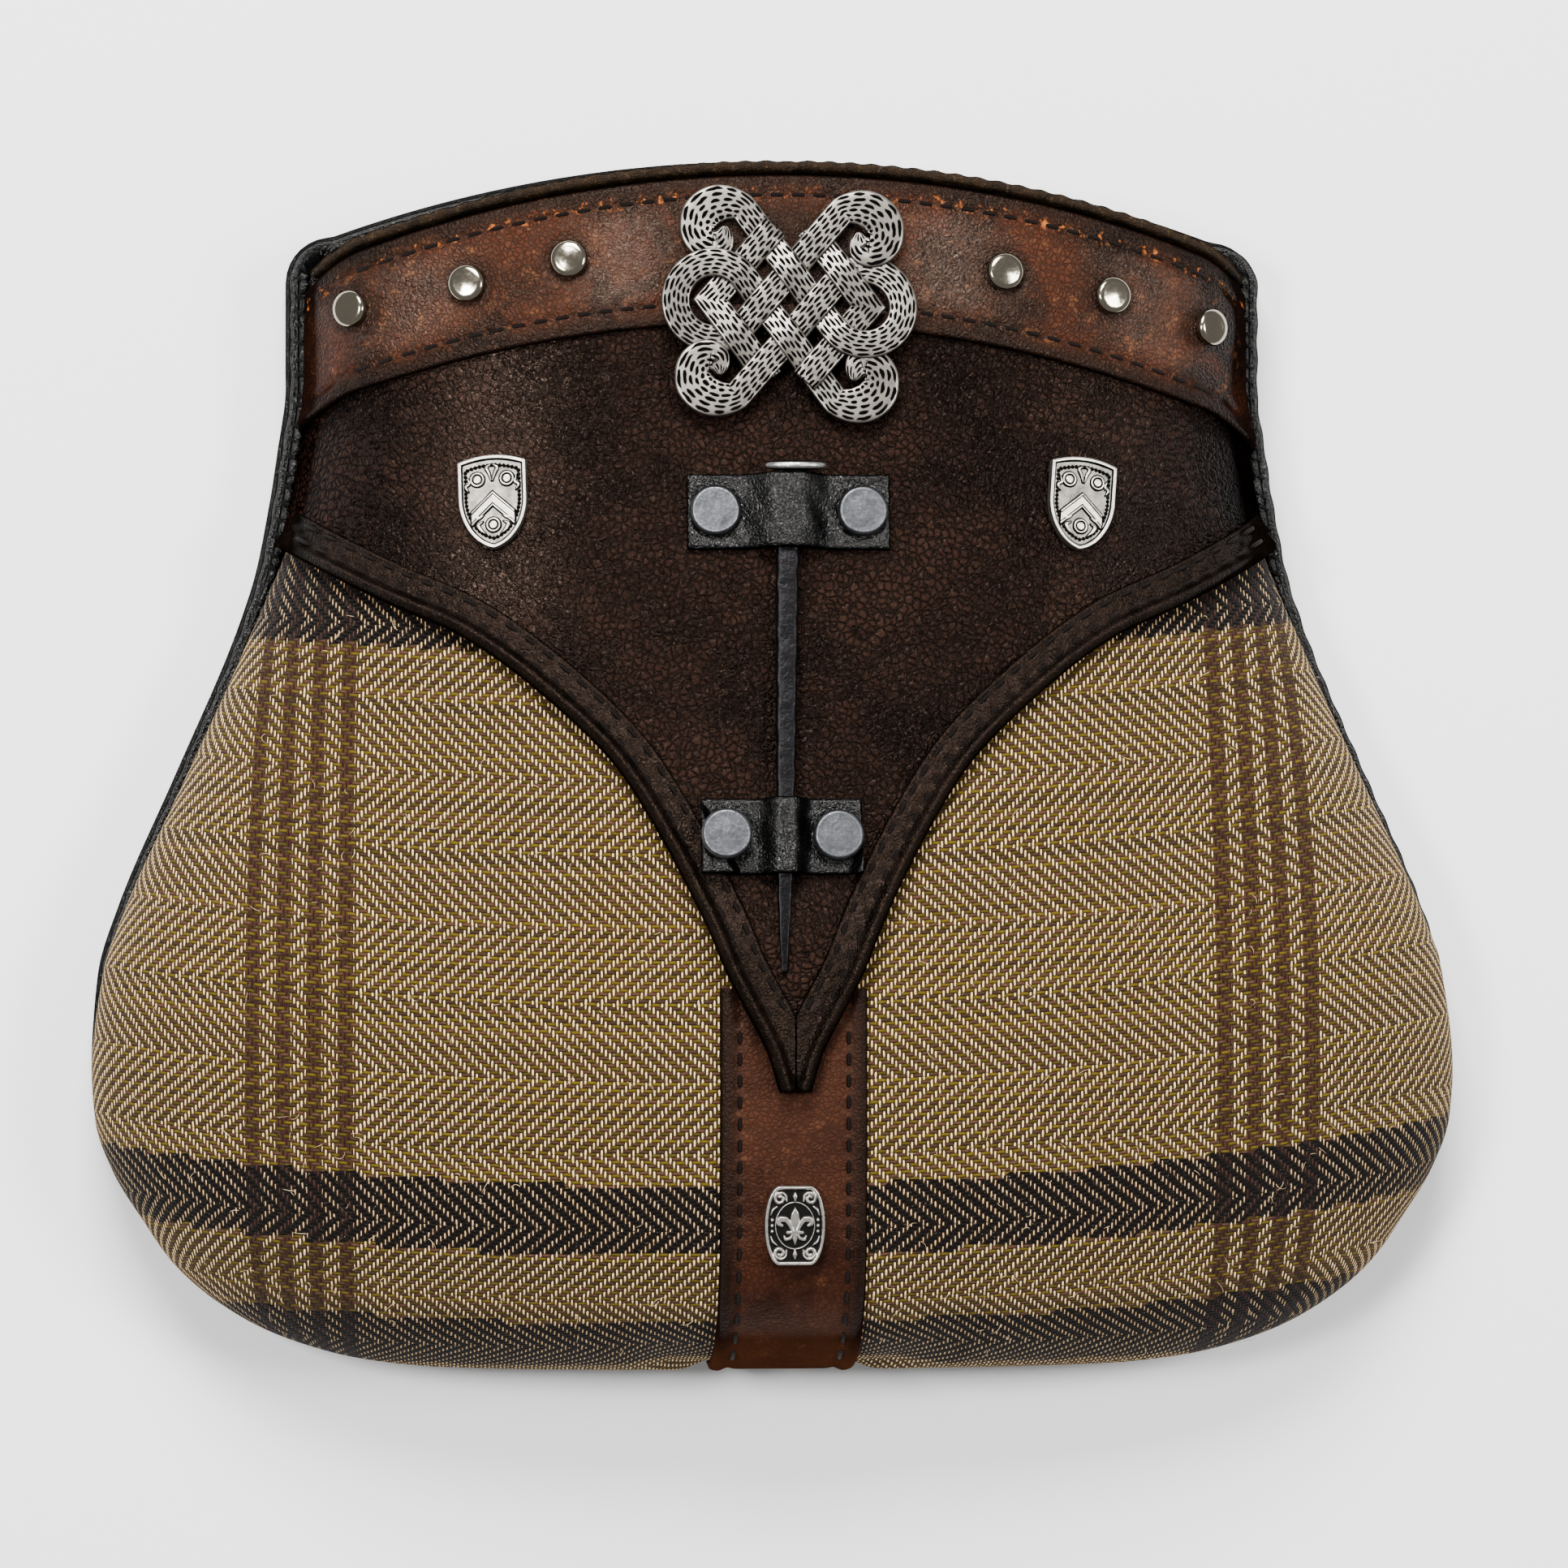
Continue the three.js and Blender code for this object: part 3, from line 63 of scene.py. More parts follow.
# %% Meshes from grids
def add_mesh(name, points, faces, material, node=None, uv=None, values=None):
    """Mesh object from points in millimetres and index rows; uv and values are one row for each point.

    A piece that takes the place of a CAD solid names its node."""
    mesh = bpy.data.meshes.new(name)
    mesh.from_pydata((np.asarray(points) * MM).tolist(), [], [list(map(int, f)) for f in faces])
    mesh.polygons.foreach_set("use_smooth", np.ones(len(mesh.polygons), bool))
    if uv is not None:
        corner = np.empty(len(mesh.loops), int)
        mesh.loops.foreach_get("vertex_index", corner)
        layer = mesh.uv_layers.new(name="UVMap")
        layer.data.foreach_set("uv", np.asarray(uv, float)[corner].ravel())
    for key, value in (values or {}).items():
        attribute = mesh.attributes.new(key, "FLOAT", "POINT")
        attribute.data.foreach_set("value", np.asarray(value, float).ravel())
    mesh.materials.append(material)
    piece = bpy.data.objects.new(name, mesh)
    bpy.context.collection.objects.link(piece)
    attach(piece, "root")
    if node:
        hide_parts(node)
    print(name, len(mesh.polygons), "faces")


def sheet_faces(rows, columns):
    """Index rows of a closed sheet: outer grid, inner grid turned over, and the wall between them."""
    count = rows * columns
    index = np.arange(count).reshape(rows, columns)
    quads = np.stack([index[:-1, :-1], index[:-1, 1:], index[1:, 1:], index[1:, :-1]], -1).reshape(-1, 4)
    rim = np.concatenate([index[0, :-1], index[:-1, -1], index[-1, :0:-1], index[:0:-1, 0]])
    following = np.roll(rim, -1)
    wall = np.stack([following, rim, rim + count, following + count], -1)
    return np.concatenate([quads, quads[:, ::-1] + count, wall])


def add_sheet(name, outer, inner, material, node=None, uv=None, values=None):
    """Closed sheet between two grids of points; uv and values are given for the outer grid alone."""
    shape = outer.shape[:2]
    points = np.concatenate([outer.reshape(-1, 3), inner.reshape(-1, 3)])
    if uv is not None:
        uv = np.tile(uv.reshape(-1, 2), (2, 1))
    twice = {key: np.tile(np.broadcast_to(v, shape).ravel(), 2) for key, v in (values or {}).items()}
    add_mesh(name, points, sheet_faces(*shape), material, node, uv, twice)


def around(count, start=0.0):
    """Even turns round a circle."""
    return start + np.linspace(0, 2 * np.pi, count, endpoint=False)


def bent(values, power):
    """Values to a power with their signs kept, which turns a circle's cosine into a squared one's."""
    return np.sign(values) * np.abs(values) ** power


def unit(vectors):
    """Vectors at length 1."""
    return vectors / np.linalg.norm(vectors, axis=-1, keepdims=True)


def length_along(points):
    """Length of a line of points from its start to each of them."""
    return np.concatenate([[0], np.cumsum(np.linalg.norm(np.diff(points, axis=0), axis=-1))])


def tube_faces(stations, sides, closed=False):
    """Index rows of a skin through rings of points, closed on itself or capped at both ends."""
    index = np.arange(stations * sides).reshape(stations, sides)
    after = np.roll(index, -1, axis=0) if closed else index[1:]
    before = index if closed else index[:-1]
    quads = np.stack([before, np.roll(before, -1, 1), np.roll(after, -1, 1), after], -1).reshape(-1, 4)
    if closed:
        return list(quads)
    return [*quads, index[0, ::-1], index[-1]]


def add_tubes(name, centre, side, normal, radius, sides, flat, material, uv=None):
    """Many short tubes in one mesh, round rings of side cos(turn) + normal flat sin(turn).

    centre, side and normal are arrays of tubes by stations by 3, and radius has one row of stations."""
    count, stations = centre.shape[:2]
    turn = around(sides)
    spread = side[:, :, None] * np.cos(turn)[:, None] + normal[:, :, None] * np.sin(turn)[:, None] * flat
    points = centre[:, :, None] + spread * radius[None, :, None, None]
    one = tube_faces(stations, sides)
    faces = [np.asarray(f) + k * stations * sides for k in range(count) for f in one]
    add_mesh(name, points.reshape(-1, 3), faces, material, uv=uv)


def lathe(profile, sides):
    """Points and faces of a profile of (radius, height) rows turned about the upright axis.

    A row with radius 0 is one point on the axis, so the two ends close there."""
    profile = np.asarray(profile, float)
    turn = around(sides)
    ring = np.stack([np.cos(turn), np.sin(turn)], -1)
    body = profile[1:-1]
    rings = body[:, None, :1] * ring[None]
    height = np.broadcast_to(body[:, None, 1:], (*rings.shape[:2], 1))
    points = np.concatenate([rings, height], -1).reshape(-1, 3)
    index = np.arange(len(points)).reshape(len(body), sides)
    faces = np.stack([index[:-1], np.roll(index[:-1], -1, 1), np.roll(index[1:], -1, 1), index[1:]], -1)
    low, high = len(points), len(points) + 1
    ends = np.array([[0, 0, profile[0, 1]], [0, 0, profile[-1, 1]]])
    under = np.stack([np.roll(index[0], -1), index[0], np.full(sides, low)], -1)
    over = np.stack([index[-1], np.roll(index[-1], -1), np.full(sides, high)], -1)
    return np.concatenate([points, ends]), [*faces.reshape(-1, 4), *under, *over]


def fine_ends(length, radius, middle, ends=5):
    """Steps from 0 to length that crowd in a quarter turn over radius at both ends."""
    quarter = radius * (1 - np.cos(np.linspace(0, np.pi / 2, ends)))
    between = np.linspace(radius, length - radius, middle)[1:-1]
    return np.concatenate([quarter, between, length - quarter[::-1]])


def rounded(distance, radius):
    """Share of full height at a distance inside an edge that is rounded over radius."""
    t = np.clip(1 - distance / radius, 0, 1)
    return np.sqrt(1 - t * t)


def bell(x, middle, reach):
    """Bell curve: exp(-((x - middle) / reach)^2)."""
    return np.exp(-((x - middle) / reach) ** 2)


def ease(t):
    """Smooth step from 0 to 1."""
    t = np.clip(t, 0, 1)
    return t * t * (3 - 2 * t)


# %% [markdown]
# The front is one smooth dome. Its outline is a table of half widths, its cross-section a squared
# ellipse, and each layer of leather is the same dome moved out along its normal. So a place on the
# front is given by two numbers, across and up, and a height over the tweed.

# %% The domed front
TWEED_LOW, TWEED_HIGH = box_mm("tweed_front")
BOTTOM_Y = TWEED_LOW[1]
RIM_Z = TWEED_LOW[2]
POUCH_HEIGHT = TWEED_HIGH[1] - TWEED_LOW[1]
BELLY_HALF_WIDTH = TWEED_HIGH[0]
BELLY_RISE = TWEED_HIGH[2] - RIM_Z
LIP_RADIUS = 228
LIP_CORNER_DROP = 3.5
LIP_CORNER_SHARE = 0.1
BOTTOM_ROUND = 30
BOTTOM_POWER = 2.3
SIDE_POWER = 2.15
STRAP_PULL = 2
STRAP_PULL_LENGTH = 18
STRAP_PULL_SHARES = (0.27, 0.42)
TWEED_WALL = 1.6

OUTLINE = np.array([
    # share of the height, share of the belly's half width
    (0, 0.34), (0.0045, 0.53), (0.0163, 0.654), (0.0434, 0.775), (0.0872, 0.875), (0.1283, 0.9265),
    (0.169, 0.9695), (0.21, 0.9945), (0.251, 1), (0.3335, 0.9844), (0.3886, 0.9523), (0.498, 0.8655),
    (0.608, 0.7787), (0.7185, 0.7029), (0.773, 0.684), (0.835, 0.666), (1, 0.665),
])
FULLNESS = np.array([
    # share of the height, share of the full rise
    (0, 0.93), (0.1, 0.97), (0.22, 1), (0.35, 0.985), (0.5, 0.9), (0.65, 0.79), (0.8, 0.68), (1, 0.56),
])


def steady_curve(table, at):
    """Smooth curve through a table's rows, by cubic pieces.

    The slope at a row is the harmonic mean of the chords on both sides, or level where they disagree."""
    keys, values = table.T
    chord = np.diff(values) / np.diff(keys)
    both = chord[:-1] + chord[1:]
    agree = chord[:-1] * chord[1:] > 0
    inner = np.where(agree, 2 * chord[:-1] * chord[1:] / np.where(agree, both, 1), 0)
    slope = np.concatenate([chord[:1], inner, chord[-1:]])
    i = np.clip(np.searchsorted(keys, at, side="right") - 1, 0, len(keys) - 2)
    run = keys[i + 1] - keys[i]
    t = np.clip((at - keys[i]) / run, 0, 1)
    a, b, rise = slope[i] * run, slope[i + 1] * run, values[i + 1] - values[i]
    return values[i] + t * (a + t * (3 * rise - 2 * a - b + t * (a + b - 2 * rise)))


def half_width(up):
    """Half width of the front at a height above the bottom edge."""
    return BELLY_HALF_WIDTH * steady_curve(OUTLINE, up / POUCH_HEIGHT)


def rise_at(up):
    """Rise of the front's middle over its rim: a table of fullness times the rounding at the bottom."""
    left = np.clip(1 - up / BOTTOM_ROUND, 0, 1)
    rounding = (1 - left ** BOTTOM_POWER) ** (1 / BOTTOM_POWER)
    return BELLY_RISE * steady_curve(FULLNESS, up / POUCH_HEIGHT) * rounding


def strap_pull(share, up):
    """How far the strap pulls the bottom edge in; it fades upwards and eases off to both sides."""
    near, far = STRAP_PULL_SHARES
    left = np.clip(1 - up / STRAP_PULL_LENGTH, 0, 1)
    return STRAP_PULL * left ** 2 * (1 - ease((np.abs(share) - near) / (far - near)))


def front_point(share, up):
    """Point of the front at a share of the half width: height follows a squared ellipse."""
    inside = np.clip(1 - np.abs(share) ** SIDE_POWER, 0, 1)
    z = RIM_Z + rise_at(up) * inside ** (1 / SIDE_POWER)
    return np.stack([share * half_width(up), up + strap_pull(share, up) + BOTTOM_Y, z], -1)


def front_normal(share, up):
    """Outward direction of the front: the cross product of small steps across and along it."""
    s = np.clip(share, -0.9999, 0.9999)
    v = np.clip(up, 0.01, POUCH_HEIGHT)
    step, tiny = 0.0003, 0.01
    across = front_point(np.minimum(s + step, 1), v) - front_point(np.maximum(s - step, -1), v)
    along = front_point(s, v + tiny) - front_point(s, v - tiny)
    return unit(np.cross(across, along))


def on_front(x, up, height):
    """Points at places across and up, at a height over the tweed along its normal."""
    x, up, height = np.broadcast_arrays(x, up, height)
    share = np.clip(x / half_width(up), -1, 1)
    return front_point(share, up) + front_normal(share, up) * height[..., None]


def even_shares(count):
    """Shares from -1 to 1 at even turns of the squared ellipse: sin(turn) to the power 2 / SIDE_POWER."""
    return bent(np.sin(np.linspace(-np.pi / 2, np.pi / 2, count)), 2 / SIDE_POWER)


def lip_up(share):
    """Height of the mouth's lip: an arc that turns down at its two ends."""
    x = share * half_width(POUCH_HEIGHT)
    arc = LIP_RADIUS - np.sqrt(LIP_RADIUS ** 2 - x * x)
    turn = np.clip((np.abs(share) - 1 + LIP_CORNER_SHARE) / LIP_CORNER_SHARE, 0, 1)
    return POUCH_HEIGHT - arc - LIP_CORNER_DROP * turn * turn


print("front", BELLY_HALF_WIDTH * 2, "by", POUCH_HEIGHT, "rising", BELLY_RISE)

# %% [markdown]
# The yoke's lower edge sweeps from each side down to a narrow point. It is again a short table, and
# the layers over it keep the thicknesses and gaps of the CAD frame.

# %% Layers and the yoke's edge
GAP = 0.3
DRAPE_GAP = 0.4
YOKE_LEATHER = 1.4
BAND_LEATHER = 1.4
STRAP_LEATHER = 1.8
TRIM_LEATHER = 1.3
TRIM_ROLL = 1.3
TRIM_WIDTH = 7.5
YOKE_TOP = DRAPE_GAP + YOKE_LEATHER
BAND_TOP = YOKE_TOP + GAP + BAND_LEATHER
STRAP_STACK = GAP + STRAP_LEATHER
LAYER_SETBACK = 1.2
BAND_WIDTH = 27.5
BAND_WIDENING = 0.02
YOKE_SIDE_UP = POUCH_HEIGHT - 68.4
YOKE_POINT_UP = 53.5
YOKE_POINT_HALF = 2.9
STRAP_TOP = YOKE_POINT_UP + 18.8
STRAP_LIFT_START = 6
STRAP_LIFT_LENGTH = 15
STRAP_WIDTH = 26.8
KNOT_UP = POUCH_HEIGHT - 24.3

YOKE_EDGE = np.array([
    # share of the drop from the side to the point, share of the half width at the side
    (0, 1), (0.04, 0.931), (0.103, 0.804), (0.168, 0.65), (0.276, 0.492), (0.404, 0.352), (0.494, 0.288),
    (0.604, 0.223), (0.707, 0.169), (0.785, 0.134), (0.843, 0.102), (0.933, 0.053), (1, 0.031),
])


def yoke_edge(t):
    """Half width and height of the yoke's lower edge, t going from the side to the point."""
    half = np.maximum(half_width(YOKE_SIDE_UP) * steady_curve(YOKE_EDGE, t), YOKE_POINT_HALF)
    return half, YOKE_SIDE_UP - (YOKE_SIDE_UP - YOKE_POINT_UP) * t


def yoke_lift(up):
    """Extra height where the yoke climbs onto the strap."""
    start = STRAP_TOP + STRAP_LIFT_START + STRAP_LIFT_LENGTH
    return STRAP_STACK * ease((start - up) / STRAP_LIFT_LENGTH)


def set_back(share, up):
    """Share of the half width pulled in, so that a layer ends a little above the rim."""
    low = np.clip(LAYER_SETBACK / rise_at(up), 0, 1)
    return share * (1 - low ** SIDE_POWER) ** (1 / SIDE_POWER)


def band_width(x):
    """Width of the band, a little more towards the right."""
    return BAND_WIDTH + BAND_WIDENING * x


def painted_brooch_shade(x, up):
    """Painted shade under the knot brooch: 1 under it, easing to 0 round it."""
    return ease((1.15 - np.hypot(x / 20, (up - KNOT_UP) / 19)) * 3)


def leather_top(x, up):
    """Height of the topmost flat leather at a place on the front."""
    band = up > lip_up(x / half_width(up)) - band_width(x)
    t = np.clip((YOKE_SIDE_UP - up) / (YOKE_SIDE_UP - YOKE_POINT_UP), 0, 1)
    inside = ((up > YOKE_SIDE_UP) | (np.abs(x) < yoke_edge(t)[0])) & (up > YOKE_POINT_UP)
    strap = (np.abs(x) < STRAP_WIDTH / 2) & (up < STRAP_TOP)
    return np.where(band, BAND_TOP, np.where(inside, YOKE_TOP + yoke_lift(up), strap * STRAP_STACK))


# %% [markdown]
# Leather and metal need the same few effects again and again: pebbles, creases, scuffs and dirt. Each
# is a node group with named inputs and outputs, built once and placed in every material that uses it.

# %% Node helpers
def new_group(name, numbers, outputs):
    """Empty shader node group with a vector, numbers with their defaults, and outputs that are numbers."""
    group = bpy.data.node_groups.new(name, "ShaderNodeTree")
    group.interface.new_socket("Vector", in_out="INPUT", socket_type="NodeSocketVector")
    for label, value in numbers.items():
        socket = group.interface.new_socket(label, in_out="INPUT", socket_type="NodeSocketFloat")
        socket.default_value = value
    for label in outputs:
        group.interface.new_socket(label, in_out="OUTPUT", socket_type="NodeSocketFloat")
    print("node group", name)
    return group, group.nodes.new("NodeGroupInput"), group.nodes.new("NodeGroupOutput")


class Wiring:
    """Short calls for adding and joining nodes in one tree."""

    def __init__(self, tree):
        self.tree = tree

    def node(self, kind, settings=None, **inputs):
        """Adds a node. Inputs go by name, with a lower dash for a space, or by number as i0, i1."""
        made = self.tree.nodes.new("ShaderNode" + kind)
        for key, value in (settings or {}).items():
            setattr(made, key, value)
        for key, value in inputs.items():
            by_number = key[0] == "i" and key[1:].isdigit()
            self.feed(made, int(key[1:]) if by_number else key.replace("_", " "), value)
        return made

    def feed(self, made, key, value):
        """Joins an input to a socket, or sets it to a value."""
        socket = made.inputs[key]
        if isinstance(value, bpy.types.NodeSocket):
            self.tree.links.new(value, socket)
        else:
            socket.default_value = value

    def settle(self, made, **inputs):
        """Sets or joins inputs by name; a lower dash stands for a space."""
        for key, value in inputs.items():
            self.feed(made, key.replace("_", " "), value)

    def value(self, name):
        """Number that the mesh carries for each of its points."""
        return self.node("Attribute", {"attribute_name": name}).outputs["Fac"]

    def math(self, operation, a, b=0.0, c=None):
        """Maths on numbers or sockets."""
        inputs = {"i0": a, "i1": b}
        if c is not None:
            inputs["i2"] = c
        return self.node("Math", {"operation": operation}, **inputs).outputs[0]

    def plus(self, a, b):
        return self.math("ADD", a, b)

    def minus(self, a, b):
        return self.math("SUBTRACT", a, b)

    def times(self, a, b):
        return self.math("MULTIPLY", a, b)

    def over(self, a, b):
        return self.math("DIVIDE", a, b)

    def line(self, a, slope, start):
        """Straight line: slope a + start."""
        return self.math("MULTIPLY_ADD", a, slope, start)

    def off_middle(self, a):
        """Distance from the middle of a share from 0 to 1, as 1 at both ends: |2 a - 1|."""
        return self.math("ABSOLUTE", self.line(a, 2.0, -1.0))

    def mix(self, factor, a, b):
        """Colour a where the factor is 0, b where it is 1."""
        made = self.node("Mix", {"data_type": "RGBA"})
        for key, value in ((0, factor), (6, a), (7, b)):
            self.feed(made, key, value)
        return made.outputs[2]

    def ramp(self, value, low, high, to_low=0.0, to_high=1.0):
        """Smooth step of a value: to_low up to low, to_high from high on."""
        made = self.node("MapRange", {"interpolation_type": "SMOOTHSTEP"})
        for key, number in enumerate((value, low, high, to_low, to_high)):
            self.feed(made, key, number)
        return made.outputs[0]

    def noise(self, vector, scale, detail=3.0, rough=0.55, distort=0.0):
        """Grey noise of the place; scale is in turns for each metre."""
        return self.node("TexNoise", Vector=vector, Scale=scale, Detail=detail, Roughness=rough,
                         Distortion=distort).outputs[0]

    def nudged(self, vector, place, scale, detail, reach):
        """A vector pushed about in x and y by slow noise: vector + (noise - 1/2) reach."""
        wander = self.node("TexNoise", Vector=place, Scale=scale, Detail=detail)
        nudge = self.node("VectorMath", {"operation": "MULTIPLY_ADD"}, i0=wander.outputs[1])
        nudge.inputs[1].default_value = (*reach, 0)
        nudge.inputs[2].default_value = (-reach[0] / 2, -reach[1] / 2, 0)
        return self.node("VectorMath", {"operation": "ADD"}, i0=vector, i1=nudge.outputs[0]).outputs[0]


def colour(red, green, blue):
    """Screen colour from 0 to 255 as the linear colour that shaders use."""
    c = np.array([red, green, blue]) / 255
    linear = np.where(c <= 0.04045, c / 12.92, ((c + 0.055) / 1.055) ** 2.4)
    return (*map(float, linear), 1.0)


# %% [markdown]
# Leather's grain is a pattern of cells with creases over it, and its wear is slow noise at three scales.
# A leather is then a dark and a light tint of one colour, put where the grain and the wear say; the dark
# tint in the grain's hollows is painted shade.

# %% Leather effects
def grain_group():
    """Pebbled grain: soft-edged cells of two sizes, cut by finer creases."""
    group, enter, leave = new_group("pebbled grain", {"Pebble size": 1.0, "Crease": 0.5},
                                    ["Height", "Hollow"])
    w = Wiring(group)
    place = enter.outputs["Vector"]
    bend = w.node("TexNoise", Vector=place, Scale=420.0, Detail=2.0)
    shift = w.node("VectorMath", {"operation": "SCALE"}, i0=bend.outputs[1], Scale=0.0012)
    moved = w.node("VectorMath", {"operation": "ADD"}, i0=place, i1=shift.outputs[0]).outputs[0]
    scale = w.over(1000.0, enter.outputs["Pebble size"])
    cells = w.node("TexVoronoi", {"feature": "DISTANCE_TO_EDGE"}, Vector=moved, Scale=scale)
    small = w.node("TexVoronoi", {"feature": "DISTANCE_TO_EDGE"}, Vector=moved, Scale=w.times(scale, 2.7))
    big = w.ramp(cells.outputs[0], 0.0, 0.3)
    fine = w.ramp(small.outputs[0], 0.0, 0.22)
    height = w.line(big, 0.75, w.times(fine, 0.25))
    creases = w.noise(place, 900.0, 4.0, 0.7, 1.2)
    height = w.line(creases, enter.outputs["Crease"], height)
    w.feed(leave, "Height", height)
    w.feed(leave, "Hollow", w.minus(1.0, big))
    return group


def wear_group():
    """Patchy wear: cloudy patches, rubbed spots and short scuffs."""
    group, enter, leave = new_group("patchy wear", {"Patch size": 12.0}, ["Patches", "Spots", "Scuffs"])
    w = Wiring(group)
    place = enter.outputs["Vector"]
    scale = w.over(1000.0, enter.outputs["Patch size"])
    cloud = w.noise(place, scale, 6.0, 0.62, 0.6)
    w.feed(leave, "Patches", w.ramp(cloud, 0.36, 0.64))
    spots = w.noise(place, w.times(scale, 4.3), 5.0, 0.7)
    w.feed(leave, "Spots", w.ramp(spots, 0.54, 0.7))
    stretch = w.node("Mapping", Vector=place, Rotation=(0, 0, 0.5), Scale=(1, 7, 1))
    scuffs = w.noise(stretch.outputs[0], 140.0, 5.0, 0.75)
    w.feed(leave, "Scuffs", w.ramp(scuffs, 0.6, 0.72))
    return group


GRAIN = grain_group()
WEAR = wear_group()


def use_group(w, group, **inputs):
    """A group's node in a material, with its inputs by name; a lower dash stands for a space."""
    made = w.tree.nodes.new("ShaderNodeGroup")
    made.node_tree = group
    w.settle(made, **inputs)
    return made


def new_material(name):
    """Material with a Principled shader; gives the material, its wiring, the shader and the place."""
    material = bpy.data.materials.new(name)
    material.use_nodes = True
    tree = material.node_tree
    shader = tree.nodes["Principled BSDF"]
    place = tree.nodes.new("ShaderNodeTexCoord").outputs["Object"]
    print("material", name)
    return material, Wiring(tree), shader, place


def bump(w, shader, height, distance, strength=1.0):
    """Joins a height to the shader's normal through one Bump node; distance is in millimetres."""
    made = w.node("Bump", Height=height, Distance=distance * MM, Strength=strength)
    w.feed(shader, "Normal", made.outputs[0])


PAINTED_LIGHT_SHARE = 0.25
BURNISH_AND_SHADE_SHARE = 0.85
POLISH_GAIN = 2.0
SPECKS_FROM_TOP = 3.4


def leather(name, base, dark, light, pebble, patch, rough=(0.42, 0.6), depth=0.12, crease=0.5,
            light_share=0.5, coat=0.0, edge=None, shine=0.3, painted_grain_shade=0.7, specks=None,
            gleam=colour(255, 214, 190)):
    """Leather whose colour runs from dark in its grain's hollows, which is painted shade, to light where it
    is worn.

    The attribute edge is 1 where the maker burnished the leather, such as along its edges, and where
    shade is painted in: under the knot brooch, round the studs and at the band's two ends. The attribute
    rubbed is 1 where the strap turns under the bottom edge, away from the lamps, and there the colour is
    painted paler as painted light; polished is 1 where hands gave it a shine.
    Specks are raw leather that shows through the dye along the upper stitches. Old leather is matt when
    it is seen edgeways, so its shine falls off there."""
    material, w, shader, place = new_material(name)
    grain = use_group(w, GRAIN, Vector=place, Pebble_size=pebble, Crease=crease)
    wear = use_group(w, WEAR, Vector=place, Patch_size=patch)
    tint = w.mix(wear.outputs["Patches"], dark, base)
    tint = w.mix(w.times(wear.outputs["Spots"], light_share), tint, light)
    # Painted shade: the grain's hollows take the dark tint.
    tint = w.mix(w.times(grain.outputs["Hollow"], painted_grain_shade), tint, dark)
    tint = w.mix(w.times(wear.outputs["Scuffs"], light_share * 0.6), tint, light)
    # Painted light: the strap is paled where it turns under the bottom edge.
    tint = w.mix(w.times(w.value("rubbed"), PAINTED_LIGHT_SHARE), tint, light)
    # The edge value holds burnished borders, and painted shade under the brooch, round the studs and at the
    # band's ends.
    if edge:
        tint = w.mix(w.times(w.value("edge"), BURNISH_AND_SHADE_SHARE), tint, edge)
    if specks:
        off_row = w.math("ABSOLUTE", w.minus(w.value("from_top"), SPECKS_FROM_TOP))
        row = w.ramp(off_row, 0.4, 1.6, 1.0, 0.0)
        crumbs = w.ramp(w.noise(place, 620.0, 3.0, 0.6), 0.58, 0.7)
        tint = w.mix(w.times(row, crumbs), tint, specks)
    w.feed(shader, "Base Color", tint)
    w.feed(shader, "Roughness", w.ramp(wear.outputs["Patches"], 0, 1, *rough))
    facing = w.node("LayerWeight").outputs["Facing"]
    level = w.times(w.ramp(facing, 0.16, 0.48, shine, 0.0), w.line(w.value("polished"), POLISH_GAIN, 1.0))
    w.settle(shader, Specular_IOR_Level=shine, Specular_Tint=gleam, Coat_Weight=coat, Coat_Roughness=0.25)
    w.feed(shader, "Specular IOR Level", level)
    bump(w, shader, grain.outputs["Height"], depth)
    return material


BAND_BROWN = leather("band brown leather", colour(58, 27, 14), colour(13, 7, 5), colour(116, 72, 42),
                     0.95, 15, rough=(0.24, 0.34), depth=0.11, crease=0.7, light_share=0.45,
                     edge=colour(9, 6, 5), shine=0.11, specks=colour(150, 82, 34))
# The yoke's edge tint serves only the painted shade under the knot brooch.
YOKE_DARK = leather("yoke dark leather", colour(33, 20, 15), colour(2, 1, 1), colour(54, 35, 27),
                    1.35, 30, rough=(0.24, 0.3), depth=0.18, crease=0.1, light_share=0.25,
                    edge=colour(2, 1, 1), shine=0.055, painted_grain_shade=1.0)
TRIM_DARK = leather("trim brown-black leather", colour(15, 9, 7), colour(4, 3, 2), colour(42, 27, 20),
                    0.8, 8, rough=(0.22, 0.32), depth=0.09, light_share=0.3, shine=0.1)
STRAP_BROWN = leather("strap brown leather", colour(52, 27, 16), colour(29, 13, 8), colour(90, 55, 35),
                      1.0, 16, rough=(0.3, 0.42), depth=0.08, crease=1.0, light_share=0.4,
                      edge=colour(10, 7, 6), shine=0.09)
LIP_OLIVE = leather("lip olive-brown leather", colour(40, 29, 18), colour(12, 9, 6), colour(86, 68, 46),
                    0.6, 5, depth=0.1, crease=0.9, light_share=0.6, shine=0.13)
BLACK_GRAINED = leather("black grained leather", colour(8, 8, 8), colour(2, 2, 2), colour(24, 24, 24),
                        0.9, 16, rough=(0.14, 0.22), depth=0.16, light_share=0.15, coat=0.02, shine=0.3,
                        gleam=colour(250, 247, 242))

# %% [markdown]
# Tweed is a woven cloth. In this herringbone each upright yarn goes over two cross yarns and under
# two, one step further along for each neighbour, and the step turns round every twenty-one cross yarns,
# which makes the rows of V. The material counts yarns from the cloth's own UV map, in millimetres of
# cloth, and works out which yarn is on top at each place.

# %% Herringbone cloth
COLUMN_PITCH = 0.735
ROW_PITCH = 0.65
CREAM_SHARE = 0.45
TURN_YARNS = 21
TURN_PHASE = 20
STRIPES = 4
STRIPE_YARNS = 4
STRIPES_FROM = 79.8
STRIPES_MIDDLE = -0.65


